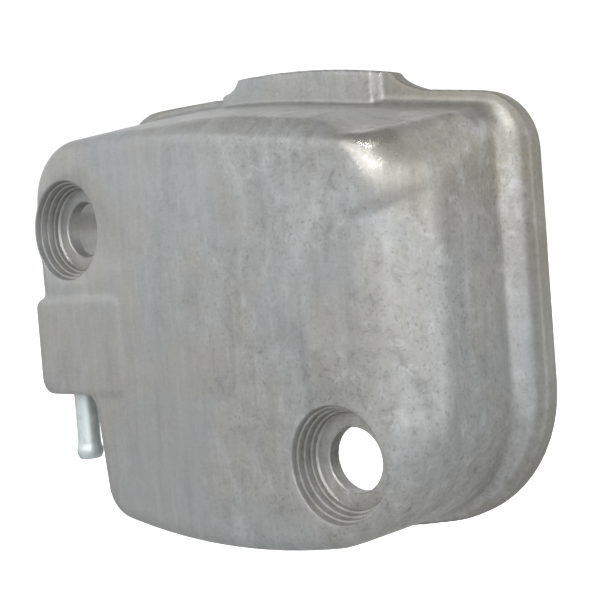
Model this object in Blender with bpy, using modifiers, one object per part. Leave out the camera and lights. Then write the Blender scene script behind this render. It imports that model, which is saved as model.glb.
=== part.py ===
"""Die-cast rocker cover of a small engine, with its breather chamber, reed valve and hose nipple.

Frame: X to the right, Z up, Y from the crown towards the gasket face. The origin lies on the gasket
face, on the middle of the flange's lower land. Lengths are metres.
"""

import math
from dataclasses import dataclass

import bmesh
import bpy
from mathutils import Matrix, Vector

MM = 0.001
PIECE_GAP = 0.3 * MM
OVERCUT = 2.0 * MM

# Overall sizes of the casting.
DEPTH = 50.0 * MM
FLANGE_THICKNESS = 5.0 * MM
FLANGE_HALF_WIDTH = 79.4 * MM
FLANGE_TOP = 129.5 * MM
FLANGE_BOTTOM = -8.6 * MM
WALL = 4.0 * MM
LEFT_LIP = 5.0 * MM
RIGHT_LIP = 8.2 * MM
TOP_LIP = 2.8 * MM
BOTTOM_LIP = 2.6 * MM
TOP_FALL = 0.165
BELLY_RISE_LEFT = 0.16
BELLY_RISE_RIGHT = 0.195

# Where the outline is highest and lowest, as shares of half the width from the middle.
BODY_ARCH = -0.2
FLANGE_ARCH = -0.1
BELLY = 0.04

# Draft: how far each wall spreads between the crown and the flange.
SIDE_DRAFT = 1.8 * MM
TOP_DRAFT = 9.6 * MM
BOTTOM_DRAFT = 0.7 * MM

# Lower left step of the body, which leaves room for the hose.
NOTCH_WIDTH = 20.6 * MM
NOTCH_HEIGHT = 39.9 * MM
NOTCH_LEAN = 4.0 * MM

# Corner radii of the outline, and radii of the crown's rim beside them.
TOP_LEFT_RADIUS = 18.5 * MM
TOP_RIGHT_RADIUS = 20.0 * MM
TOP_RIGHT_SHARPENING = 12.0 * MM
BOTTOM_RIGHT_RADIUS = 37.0 * MM
BOTTOM_LEFT_RADIUS = 11.0 * MM
NOTCH_OUTER_RADIUS = 6.5 * MM
NOTCH_INNER_RADIUS = 6.0 * MM
ARCH_RADIUS = 300.0 * MM
BELLY_RADIUS = 215.0 * MM
SMALL_RIM = 4.8 * MM
TOP_RIM = 4.0 * MM
SIDE_RIM = 17.0 * MM
LEAST_RIM = 1.0 * MM

# Stepped bolt holes.
BOLT_SPACING_X = 100.3 * MM
BOLT_SPACING_Z = 66.4 * MM
LOWER_BOLT_FROM_RIGHT = 35.8 * MM
LOWER_BOLT_HEIGHT = 24.3 * MM
BOLT_HOLE_RADIUS = 8.5 * MM
SEAT_RADIUS = 12.0 * MM
RIM_RADIUS = 15.0 * MM
SEAT_STEPS = 4
SEAT_DEPTH = 7.7 * MM
SEAT_WEB = 4.0 * MM
BOSS_WALL = 3.0 * MM
BOSS_STEP = 0.8 * MM
PAD_STEP = 0.5 * MM

# Raised ledge on the top of the flange.
LEDGE_LEFT = -26.5 * MM
LEDGE_LENGTH = 74.5 * MM
LEDGE_RISE = 3.9 * MM
LEDGE_FLANK = 7.0 * MM
LEDGE_RAMP = 10.5 * MM
LEDGE_PROUD = 3.0 * MM
LEDGE_PROUD_LENGTH = 67.0 * MM
LEDGE_PROUD_RAMP = 3.5 * MM
LEDGE_FALL = 6.6 * MM

# Breather chamber inside the block on the left wall.
BLOCK_PROUD = 2.1 * MM
BLOCK_FACE_PROUD = 0.5 * MM
BLOCK_LENGTH = 40.5 * MM
BLOCK_HEIGHT = 30.4 * MM
BLOCK_CORNER = 3.5 * MM
RIB = 3.0 * MM
RIB_CORNER = 1.5 * MM
CHAMBER_DEPTH = 28.0 * MM

# Hose nipple.
NIPPLE_RADIUS = 3.6 * MM
NIPPLE_BORE_RADIUS = 2.4 * MM
BEAD_RADIUS = 4.15 * MM
BEAD_LENGTH = 4.6 * MM
NIPPLE_REACH = 21.4 * MM
NIPPLE_GRIP = 7.0 * MM
NIPPLE_FROM_LEFT = 9.9 * MM
NIPPLE_FROM_CROWN = 8.8 * MM
NIPPLE_CHAMFER = 0.6 * MM
NIPPLE_BOSS_WALL = 2.4 * MM
NIPPLE_CLEAR = 2.0 * MM

# Breather plate, its gasket and its screws.
PLATE_THICKNESS = 1.2 * MM
PLATE_CORNER = 2.5 * MM
GASKET_THICKNESS = 0.8 * MM
GASKET_LAP = 0.8 * MM
SCREW_RADIUS = 1.5 * MM
SCREW_HEAD_RADIUS = 2.8 * MM
SCREW_HEAD_HEIGHT = 2.0 * MM
SCREW_GRIP = 8.0 * MM
SCREW_END_GAP = 1.0 * MM
POST_RADIUS = 3.7 * MM
POST_INSET = 3.3 * MM

# Reed valve.
REED_LENGTH = 20.0 * MM
REED_WIDTH = 6.0 * MM
REED_THICKNESS = 0.4 * MM
REED_CLAMP = 6.0 * MM
REED_LIFT = 8.0
STOP_MARGIN = 1.5
PORT_RADIUS = 2.2 * MM
STOP_THICKNESS = 1.0 * MM
RIVET_RADIUS = 1.2 * MM
RIVET_HEAD_RADIUS = 2.4 * MM
RIVET_HEAD_HEIGHT = 1.0 * MM

# Knitted pad that catches oil before the nipple.
PAD_THICKNESS = 11.0 * MM

# Seal in the gasket face.
SEAL_WIDTH = 2.0 * MM
SEAL_DEPTH = 1.9 * MM
SEAL_FROM_EDGE = 1.6 * MM

CROWN_Y = -DEPTH
FLANGE_FRONT_Y = -FLANGE_THICKNESS
CHAMBER_Y = CROWN_Y + CHAMBER_DEPTH
LEFT_WALL_X = -(FLANGE_HALF_WIDTH - LEFT_LIP) + SIDE_DRAFT
RIGHT_WALL_X = FLANGE_HALF_WIDTH - RIGHT_LIP - SIDE_DRAFT
LOWER_BOLT = (FLANGE_HALF_WIDTH - LOWER_BOLT_FROM_RIGHT, LOWER_BOLT_HEIGHT)
UPPER_BOLT = (LOWER_BOLT[0] - BOLT_SPACING_X, LOWER_BOLT[1] + BOLT_SPACING_Z)
BOSS_RADIUS = RIM_RADIUS + BOSS_WALL
BLOCK_LEFT = LEFT_WALL_X - BLOCK_PROUD
BLOCK_RIGHT = BLOCK_LEFT + BLOCK_LENGTH
BLOCK_BOTTOM = NOTCH_HEIGHT
BLOCK_TOP = BLOCK_BOTTOM + BLOCK_HEIGHT
CHAMBER = (BLOCK_LEFT + RIB, BLOCK_BOTTOM + RIB, BLOCK_RIGHT - RIB, BLOCK_TOP - 2 * RIB)
ARC_STEPS = 7
TURN_STEPS = 32


@dataclass
class Corner:
    """Corner of a rounded outline, with the crown's rim radius where its arc starts and where it ends."""

    x: float
    z: float
    radius: float
    rim_start: float = SMALL_RIM
    rim_end: float = SMALL_RIM


@dataclass
class EdgePoint:
    """Point of a sampled outline, with its outward normal and rim radius."""

    place: Vector
    normal: Vector
    rim: float


def start_scene():
    """Empties the scene and returns the collections for pieces and for cutters."""
    for obj in list(bpy.data.objects):
        bpy.data.objects.remove(obj, do_unlink=True)
    pieces = bpy.data.collections.new("rocker_cover")
    cutters = bpy.data.collections.new("cutters")
    for collection in (pieces, cutters):
        bpy.context.scene.collection.children.link(collection)
    cutters.hide_render = True
    return pieces, cutters


def make_material(name, colour, roughness, metallic):
    material = bpy.data.materials.new(name)
    material.use_nodes = True
    shader = material.node_tree.nodes["Principled BSDF"]
    shader.inputs["Base Color"].default_value = (*colour, 1.0)
    shader.inputs["Roughness"].default_value = roughness
    shader.inputs["Metallic"].default_value = metallic
    return material


def sample_outline(corners):
    """Rounds each corner with an arc and returns the outline's points, with normals that face outwards.

    The corners run counter-clockwise in X and Z.
    """
    points = []
    count = len(corners)
    for index, corner in enumerate(corners):
        here = Vector((corner.x, corner.z))
        before = corners[index - 1]
        after = corners[(index + 1) % count]
        arriving = (here - Vector((before.x, before.z))).normalized()
        leaving = (Vector((after.x, after.z)) - here).normalized()
        turn = math.atan2(arriving.x * leaving.y - arriving.y * leaving.x, arriving.dot(leaving))
        start = here - arriving * corner.radius * math.tan(abs(turn) / 2)
        inward = Vector((-arriving.y, arriving.x)) * math.copysign(1.0, turn)
        centre = start + inward * corner.radius
        for step in range(ARC_STEPS + 1):
            angle = turn * step / ARC_STEPS
            spoke = -inward
            spoke = Vector(
                (
                    spoke.x * math.cos(angle) - spoke.y * math.sin(angle),
                    spoke.x * math.sin(angle) + spoke.y * math.cos(angle),
                )
            )
            rim = corner.rim_start + (corner.rim_end - corner.rim_start) * step / ARC_STEPS
            normal = spoke * math.copysign(1.0, turn)
            points.append(EdgePoint(centre + spoke * corner.radius, normal, rim))
    return points


def body_corners(spread):
    """Outline of the body, from the crown (spread 0) to the flange (spread 1)."""
    left = LEFT_WALL_X - SIDE_DRAFT * spread
    right = RIGHT_WALL_X + SIDE_DRAFT * spread
    top = FLANGE_TOP - TOP_LIP - TOP_DRAFT * (1 - spread)
    low = FLANGE_BOTTOM + BOTTOM_LIP + BOTTOM_DRAFT * (1 - spread)
    notch_left = left + NOTCH_WIDTH
    arch_x = BODY_ARCH * FLANGE_HALF_WIDTH
    belly_x = BELLY * FLANGE_HALF_WIDTH
    step_z = NOTCH_HEIGHT - SIDE_DRAFT * spread / 2
    foot_z = low + (belly_x - notch_left) * BELLY_RISE_LEFT
    right_foot_z = low + (right - belly_x) * BELLY_RISE_RIGHT
    shoulder_z = top - (right - arch_x) * TOP_FALL
    return [
        Corner(notch_left + NOTCH_LEAN, foot_z, BOTTOM_LEFT_RADIUS),
        Corner(belly_x, low, BELLY_RADIUS),
        Corner(right, right_foot_z, BOTTOM_RIGHT_RADIUS, SMALL_RIM, SIDE_RIM),
        Corner(right, shoulder_z, TOP_RIGHT_RADIUS - TOP_RIGHT_SHARPENING * spread, SIDE_RIM, TOP_RIM),
        Corner(arch_x, top, ARCH_RADIUS, TOP_RIM, SMALL_RIM),
        Corner(left, top, TOP_LEFT_RADIUS),
        Corner(left, step_z, NOTCH_OUTER_RADIUS),
        Corner(notch_left, step_z, NOTCH_INNER_RADIUS),
    ]


def flange_corners(inset=0.0):
    """Outline of the flange, moved inwards by inset."""
    half = FLANGE_HALF_WIDTH - inset
    top = FLANGE_TOP - inset
    low = FLANGE_BOTTOM + inset
    arch_x = FLANGE_ARCH * FLANGE_HALF_WIDTH
    belly_x = BELLY * FLANGE_HALF_WIDTH
    notch_left = LEFT_WALL_X - SIDE_DRAFT + NOTCH_WIDTH - LEFT_LIP + inset
    step_z = NOTCH_HEIGHT - LEFT_LIP + inset
    foot_z = low + (belly_x - notch_left) * BELLY_RISE_LEFT
    right_foot_z = low + (half - belly_x) * BELLY_RISE_RIGHT
    shoulder_z = top - (half - arch_x) * TOP_FALL
    return [
        Corner(notch_left + NOTCH_LEAN, foot_z, BOTTOM_LEFT_RADIUS + LEFT_LIP - inset),
        Corner(belly_x, low, BELLY_RADIUS + BOTTOM_LIP - inset),
        Corner(half, right_foot_z, BOTTOM_RIGHT_RADIUS + TOP_LIP - inset),
        Corner(half, shoulder_z, TOP_RIGHT_RADIUS - TOP_LIP - inset),
        Corner(arch_x, top, 2 * ARCH_RADIUS - inset),
        Corner(-half, top, TOP_LEFT_RADIUS + 0.5 * TOP_LIP - inset),
        Corner(-half, step_z, NOTCH_OUTER_RADIUS + TOP_LIP - inset),
        Corner(notch_left, step_z, NOTCH_INNER_RADIUS + inset),
    ]


def mesh_object(name, mesh, collection):
    obj = bpy.data.objects.new(name, mesh)
    collection.objects.link(obj)
    return obj


def body_loft(name, collection, inset, back_y):
    """Lofts the body from the rounded rim of its crown to back_y, moved inwards by inset."""
    crown = sample_outline(body_corners(0.0))
    base = sample_outline(body_corners(1.0))
    wall_length = DEPTH - FLANGE_THICKNESS
    rows = []
    for step in range(ARC_STEPS + 1):
        angle = math.radians(90) * step / ARC_STEPS
        row = []
        for near, far in zip(crown, base):
            rim = max(near.rim - inset, LEAST_RIM)
            depth = inset + rim * (1 - math.cos(angle))
            place = near.place.lerp(far.place, depth / wall_length)
            place = place - near.normal * (inset + rim * (1 - math.sin(angle)))
            row.append((place.x, CROWN_Y + depth, place.y))
        rows.append(row)
    spread = (back_y - CROWN_Y) / wall_length
    row = []
    for near, far in zip(crown, base):
        place = near.place.lerp(far.place, spread) - near.normal * inset
        row.append((place.x, back_y, place.y))
    rows.append(row)

    shape = bmesh.new()
    loops = [[shape.verts.new(point) for point in row] for row in rows]
    for first, second in zip(loops, loops[1:]):
        for index in range(len(first)):
            following = (index + 1) % len(first)
            shape.faces.new((first[index], first[following], second[following], second[index]))
    shape.faces.new(loops[0])
    shape.faces.new(loops[-1])
    bmesh.ops.recalc_face_normals(shape, faces=shape.faces)
    mesh = bpy.data.meshes.new(name)
    shape.to_mesh(mesh)
    shape.free()
    return mesh_object(name, mesh, collection)


def flat_piece(name, collection, outlines, near_y, far_y):
    """Extrudes outlines in X and Z between two planes. An outline inside another one is a hole."""
    curve = bpy.data.curves.new(name, "CURVE")
    curve.dimensions = "2D"
    curve.fill_mode = "BOTH"
    curve.extrude = (far_y - near_y) / 2
    for outline in outlines:
        spline = curve.splines.new("POLY")
        spline.points.add(len(outline) - 1)
        for point, (x, z) in zip(spline.points, outline):
            point.co = (x, z, 0.0, 1.0)
        spline.use_cyclic_u = True
    upright = Matrix.Rotation(math.radians(90), 4, "X")
    middle = Matrix.Translation((0.0, (near_y + far_y) / 2, 0.0))
    return curve_to_mesh(name, curve, middle @ upright, collection)


def side_piece(name, collection, outline, low_z, high_z):
    """Extrudes an outline in X and Y between two heights."""
    curve = bpy.data.curves.new(name, "CURVE")
    curve.dimensions = "2D"
    curve.fill_mode = "BOTH"
    curve.extrude = (high_z - low_z) / 2
    spline = curve.splines.new("POLY")
    spline.points.add(len(outline) - 1)
    for point, (x, y) in zip(spline.points, outline):
        point.co = (x, y, 0.0, 1.0)
    spline.use_cyclic_u = True
    middle = Matrix.Translation((0.0, 0.0, (low_z + high_z) / 2))
    return curve_to_mesh(name, curve, middle, collection)


def curve_to_mesh(name, curve, matrix, collection):
    """Turns a filled curve into a welded mesh object at matrix."""
    guide = bpy.data.objects.new(name + "_outline", curve)
    collection.objects.link(guide)
    guide.matrix_world = matrix
    bpy.context.view_layer.update()
    evaluated = guide.evaluated_get(bpy.context.evaluated_depsgraph_get())
    mesh = bpy.data.meshes.new_from_object(evaluated)
    placed = guide.matrix_world.copy()
    bpy.data.objects.remove(guide, do_unlink=True)
    shape = bmesh.new()
    shape.from_mesh(mesh)
    bmesh.ops.remove_doubles(shape, verts=shape.verts, dist=0.001 * MM)
    bmesh.ops.recalc_face_normals(shape, faces=shape.faces)
    shape.to_mesh(mesh)
    shape.free()
    obj = mesh_object(name, mesh, collection)
    obj.matrix_world = placed
    return obj


def places(points):
    return [(point.place.x, point.place.y) for point in points]


def circle_points(centre, radius):
    points = []
    for step in range(TURN_STEPS):
        turn = 2 * math.pi * step / TURN_STEPS
        points.append((centre[0] + radius * math.cos(turn), centre[1] + radius * math.sin(turn)))
    return points


def rounded_box_points(low_x, low_z, high_x, high_z, radius):
    corners = [
        Corner(low_x, low_z, radius),
        Corner(high_x, low_z, radius),
        Corner(high_x, high_z, radius),
        Corner(low_x, high_z, radius),
    ]
    return places(sample_outline(corners))


def cylinder(name, collection, centre, radius, near_y, far_y):
    """Cylinder along Y, with its axis through centre in X and Z."""
    shape = bmesh.new()
    bmesh.ops.create_cone(
        shape,
        cap_ends=True,
        segments=TURN_STEPS,
        radius1=radius,
        radius2=radius,
        depth=far_y - near_y,
        matrix=Matrix.Rotation(math.radians(90), 4, "X"),
    )
    mesh = bpy.data.meshes.new(name)
    shape.to_mesh(mesh)
    shape.free()
    obj = mesh_object(name, mesh, collection)
    obj.location = (centre[0], (near_y + far_y) / 2, centre[1])
    return obj


def turned(name, collection, profile, location, lean=0.0):
    """Turns a profile of radius and height about the object's Z axis; lean tips it about X, in degrees."""
    mesh = bpy.data.meshes.new(name)
    points = [(radius, 0.0, height) for radius, height in profile]
    edges = [(index, index + 1) for index in range(len(points) - 1)]
    mesh.from_pydata(points, edges, [])
    obj = mesh_object(name, mesh, collection)
    screw = obj.modifiers.new("Turn", "SCREW")
    screw.steps = TURN_STEPS
    screw.render_steps = TURN_STEPS
    screw.use_merge_vertices = True
    screw.merge_threshold = 0.01 * MM
    screw.use_smooth_shade = True
    obj.location = location
    obj.rotation_euler = (math.radians(lean), 0.0, 0.0)
    return obj


def combine(target, other, operation):
    """Adds a live Boolean of another object to the target.

    The manifold solver is used because the exact one leaves open edges where the casting's lofted walls meet.
    """
    modifier = target.modifiers.new(f"{operation.title()} {other.name}", "BOOLEAN")
    modifier.operation = operation
    modifier.object = other
    modifier.solver = "MANIFOLD"
    other.hide_render = True
    other.display_type = "WIRE"


def bolt_cutter(name, collection, centre):
    """Cutter for a bolt hole: a mouth that narrows in steps to the seat, then the through hole."""
    step_depth = SEAT_DEPTH / SEAT_STEPS
    step_width = (RIM_RADIUS - SEAT_RADIUS) / SEAT_STEPS
    profile = [(0.0, OVERCUT), (RIM_RADIUS, OVERCUT)]
    for step in range(SEAT_STEPS):
        radius = RIM_RADIUS - step_width * step
        profile.append((radius, -step_depth * (step + 1)))
        profile.append((radius - step_width, -step_depth * (step + 1)))
    profile[-1] = (BOLT_HOLE_RADIUS, -SEAT_DEPTH)
    profile.append((BOLT_HOLE_RADIUS, -SEAT_DEPTH - SEAT_WEB - OVERCUT))
    profile.append((0.0, -SEAT_DEPTH - SEAT_WEB - OVERCUT))
    return turned(name, collection, profile, (centre[0], CROWN_Y, centre[1]), lean=90.0)


def screw_places():
    """Centres of the breather plate's screws in X and Z. The lower left one stands clear of the nipple."""
    low_x, low_z, high_x, high_z = CHAMBER
    nipple_clear = nipple_place()[0] + NIPPLE_RADIUS + PIECE_GAP + POST_RADIUS + NIPPLE_CLEAR
    return [
        (low_x + POST_INSET, high_z - POST_INSET),
        (high_x - POST_INSET / 2, high_z - POST_INSET),
        (high_x - POST_INSET / 2, low_z + POST_INSET),
        (nipple_clear, low_z + POST_INSET),
    ]


def nipple_place():
    """Axis of the nipple in X and Y."""
    return (BLOCK_LEFT + NIPPLE_FROM_LEFT, CROWN_Y + NIPPLE_FROM_CROWN)


def ledge_outline(length, ramp):
    """Outline of the raised ledge: a hollow flank on the left, an arched top and a ramp on the right."""
    right = LEDGE_LEFT + length
    high = FLANGE_TOP + LEDGE_RISE
    arch = body_corners(1.0)[4]
    root = arch.z - WALL / 2
    top_left = LEDGE_LEFT + LEDGE_FLANK
    top_right = right - ramp
    outline = [(LEDGE_LEFT, root), (right, root - (right - arch.x) * TOP_FALL)]
    right_z = FLANGE_TOP - (right - FLANGE_ARCH * FLANGE_HALF_WIDTH) * TOP_FALL
    shoulder_z = high - LEDGE_FALL
    for step in range(ARC_STEPS + 1):
        angle = math.radians(90) * step / ARC_STEPS
        rise = (1 - math.cos(angle) + math.sin(angle)) / 2
        outline.append((right - ramp * math.sin(angle), right_z + (shoulder_z - right_z) * rise))
    for step in range(1, 2 * ARC_STEPS + 1):
        share = 1 - step / (2 * ARC_STEPS)
        outline.append((top_left + (top_right - top_left) * share, high - LEDGE_FALL * share**2))
    for step in range(1, ARC_STEPS + 1):
        angle = math.radians(90) * step / ARC_STEPS
        x = LEDGE_LEFT + LEDGE_FLANK * math.cos(angle)
        z = FLANGE_TOP + LEDGE_RISE * (1 - math.sin(angle))
        outline.append((x, z))
    return outline


def build_casting(pieces, cutters, material):
    """The die-cast cover: domed body, flange, ledge, bolt bosses and the block that holds the breather."""
    low_x, low_z, high_x, high_z = CHAMBER
    flange_middle_y = FLANGE_FRONT_Y + FLANGE_THICKNESS / 2
    casting = body_loft("cover_casting", pieces, 0.0, flange_middle_y)
    flange_outline = places(sample_outline(flange_corners()))
    flange = flat_piece("flange", cutters, [flange_outline], FLANGE_FRONT_Y, 0.0)
    low_ledge = flat_piece("ledge", cutters, [ledge_outline(LEDGE_LENGTH, LEDGE_RAMP)], FLANGE_FRONT_Y, 0.0)
    proud_outline = ledge_outline(LEDGE_PROUD_LENGTH, LEDGE_PROUD_RAMP)
    proud_y = FLANGE_FRONT_Y - LEDGE_PROUD
    proud_ledge = flat_piece("proud_ledge", cutters, [proud_outline], proud_y, -LEDGE_PROUD)
    block = flat_piece(
        "breather_block",
        cutters,
        [rounded_box_points(BLOCK_LEFT, BLOCK_BOTTOM, BLOCK_RIGHT, BLOCK_TOP, BLOCK_CORNER)],
        CROWN_Y - BLOCK_FACE_PROUD,
        flange_middle_y,
    )
    boss_top = CROWN_Y + BOSS_STEP
    column = cylinder("upper_boss", cutters, UPPER_BOLT, BOSS_RADIUS, boss_top, flange_middle_y)
    for solid in (flange, low_ledge, proud_ledge, block, column):
        combine(casting, solid, "UNION")

    hollow = body_loft("hollow", cutters, WALL, OVERCUT)
    hollow_top = CROWN_Y + WALL
    column_radius = BOSS_RADIUS - WALL
    column_hollow = cylinder("boss_hollow", cutters, UPPER_BOLT, column_radius, hollow_top, OVERCUT)
    block_hollow = flat_piece(
        "block_hollow",
        cutters,
        [rounded_box_points(low_x, low_z, high_x + RIB / 2, high_z + RIB, RIB_CORNER)],
        CROWN_Y + WALL - BLOCK_FACE_PROUD,
        OVERCUT,
    )
    for cavity in (hollow, column_hollow, block_hollow):
        combine(casting, cavity, "DIFFERENCE")

    seat_y = CROWN_Y + SEAT_DEPTH + SEAT_WEB
    pad_radius = BOSS_RADIUS - PAD_STEP
    pad_top = hollow_top - PAD_STEP
    pads = [
        cylinder("lower_pad", cutters, LOWER_BOLT, pad_radius, pad_top, seat_y),
        cylinder("upper_pad", cutters, UPPER_BOLT, pad_radius, pad_top, seat_y),
    ]
    bite = RIB / 3
    frame_outer = rounded_box_points(
        low_x - bite, low_z - bite, high_x + RIB, high_z + RIB + bite, RIB_CORNER + PAD_STEP
    )
    frame_inner = rounded_box_points(low_x, low_z, high_x, high_z, RIB_CORNER)
    rib_top = CROWN_Y + WALL / 2
    pads.append(flat_piece("chamber_rib", cutters, [frame_outer, frame_inner], rib_top, CHAMBER_Y))
    for index, place in enumerate(screw_places(), start=1):
        pads.append(cylinder(f"post_{index}", cutters, place, POST_RADIUS, rib_top, CHAMBER_Y))
    nipple_x, nipple_y = nipple_place()
    grip_top = BLOCK_BOTTOM + NIPPLE_GRIP
    boss_radius = NIPPLE_RADIUS + NIPPLE_BOSS_WALL
    grip = [(0.0, grip_top), (boss_radius, grip_top)]
    grip += [(boss_radius, BLOCK_BOTTOM + RIB / 2), (0.0, BLOCK_BOTTOM + RIB / 2)]
    pads.append(turned("nipple_boss", cutters, grip, (nipple_x, nipple_y, 0.0)))
    for pad in pads:
        combine(casting, pad, "UNION")

    cuts = [
        bolt_cutter("lower_bolt_cut", cutters, LOWER_BOLT),
        bolt_cutter("upper_bolt_cut", cutters, UPPER_BOLT),
    ]
    hole_radius = SCREW_RADIUS + PIECE_GAP
    hole_end = CHAMBER_Y - SCREW_GRIP - SCREW_END_GAP
    hole_mouth = CHAMBER_Y + OVERCUT
    for index, place in enumerate(screw_places(), start=1):
        cuts.append(cylinder(f"screw_cut_{index}", cutters, place, hole_radius, hole_end, hole_mouth))
    bore = NIPPLE_RADIUS + PIECE_GAP
    profile = [(0.0, grip_top + OVERCUT), (bore, grip_top + OVERCUT)]
    profile += [(bore, BLOCK_BOTTOM - OVERCUT), (0.0, BLOCK_BOTTOM - OVERCUT)]
    cuts.append(turned("nipple_cut", cutters, profile, (nipple_x, nipple_y, 0.0)))
    groove_outer = places(sample_outline(flange_corners(SEAL_FROM_EDGE - PIECE_GAP)))
    groove_inner = places(sample_outline(flange_corners(SEAL_FROM_EDGE + SEAL_WIDTH + PIECE_GAP)))
    groove_y = -SEAL_DEPTH - PIECE_GAP
    cuts.append(flat_piece("seal_groove", cutters, [groove_outer, groove_inner], groove_y, OVERCUT))
    for cut in cuts:
        combine(casting, cut, "DIFFERENCE")
    casting.data.materials.append(material)
    return casting


def build_seal(pieces, material):
    """Rubber seal, pressed flush into the groove of the gasket face."""
    outer = places(sample_outline(flange_corners(SEAL_FROM_EDGE)))
    inner = places(sample_outline(flange_corners(SEAL_FROM_EDGE + SEAL_WIDTH)))
    seal = flat_piece("perimeter_seal", pieces, [outer, inner], -SEAL_DEPTH, 0.0)
    seal.data.materials.append(material)


def build_nipple(pieces, material):
    """Plated steel hose nipple, pressed into the underside of the breather block."""
    top = BLOCK_BOTTOM + NIPPLE_GRIP
    low = BLOCK_BOTTOM - NIPPLE_REACH
    bead_middle = low + BEAD_LENGTH / 2
    chamfer = NIPPLE_CHAMFER
    profile = [
        (NIPPLE_BORE_RADIUS, top),
        (NIPPLE_RADIUS - chamfer, top),
        (NIPPLE_RADIUS, top - chamfer),
        (NIPPLE_RADIUS, low + BEAD_LENGTH),
        (BEAD_RADIUS, bead_middle + chamfer),
        (BEAD_RADIUS, bead_middle - chamfer),
        (NIPPLE_RADIUS - chamfer / 2, low),
        (NIPPLE_BORE_RADIUS, low),
        (NIPPLE_BORE_RADIUS, top),
    ]
    nipple_x, nipple_y = nipple_place()
    nipple = turned("hose_nipple", pieces, profile, (nipple_x, nipple_y, 0.0))
    nipple.data.materials.append(material)


def plate_box(clearance):
    """Low X, low Z, high X and high Z of the breather plate, which lies inside the block's walls."""
    low_x, low_z, high_x, high_z = CHAMBER
    return (low_x + clearance, low_z + clearance, high_x + RIB - clearance, high_z + RIB - clearance)


def build_plate(pieces, plate_material, gasket_material):
    """Breather plate with its port, and the gasket under it."""
    low_x, low_z, high_x, high_z = plate_box(PIECE_GAP)
    outline = rounded_box_points(low_x, low_z, high_x, high_z, PLATE_CORNER)
    holes = [circle_points(place, SCREW_RADIUS + PIECE_GAP) for place in screw_places()]
    port = circle_points(port_place(), PORT_RADIUS)
    rivet = circle_points((reed_clamp_x(), reed_z()), RIVET_RADIUS + PIECE_GAP)
    gasket_y = CHAMBER_Y + PIECE_GAP
    plate_back = plate_y() + PLATE_THICKNESS
    plate = flat_piece("breather_plate", pieces, [outline, *holes, port, rivet], plate_y(), plate_back)
    plate.data.materials.append(plate_material)

    near_x, near_z, far_x, far_z = CHAMBER
    lap = GASKET_LAP
    window = rounded_box_points(near_x + lap, near_z + lap, far_x - lap, far_z - lap, RIB_CORNER)
    gasket_back = gasket_y + GASKET_THICKNESS
    gasket = flat_piece("breather_gasket", pieces, [outline, window], gasket_y, gasket_back)
    cutters = bpy.data.collections["cutters"]
    ear_radius = POST_INSET - PIECE_GAP
    for index, place in enumerate(screw_places(), start=1):
        ear = cylinder(f"gasket_ear_{index}", cutters, place, ear_radius, gasket_y, gasket_back)
        combine(gasket, ear, "UNION")
    hole_radius = SCREW_RADIUS + PIECE_GAP
    low_y = gasket_y - OVERCUT
    high_y = gasket_back + OVERCUT
    for index, place in enumerate(screw_places(), start=1):
        hole = cylinder(f"gasket_hole_{index}", cutters, place, hole_radius, low_y, high_y)
        combine(gasket, hole, "DIFFERENCE")
    gasket.data.materials.append(gasket_material)


def plate_y():
    """Face of the breather plate towards the crown."""
    return CHAMBER_Y + PIECE_GAP + GASKET_THICKNESS + PIECE_GAP


def reed_z():
    """Height of the reed's middle line."""
    return (CHAMBER[1] + CHAMBER[3]) / 2


def reed_clamp_x():
    """Middle of the clamped end of the reed."""
    return (CHAMBER[0] + CHAMBER[2]) / 2 + REED_LENGTH / 2


def hinge_x():
    """Edge of the clamp, about which the reed bends open."""
    return reed_clamp_x() - REED_CLAMP / 2


def port_place():
    return (reed_clamp_x() + REED_CLAMP / 2 - REED_LENGTH + REED_WIDTH / 2, reed_z())


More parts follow.
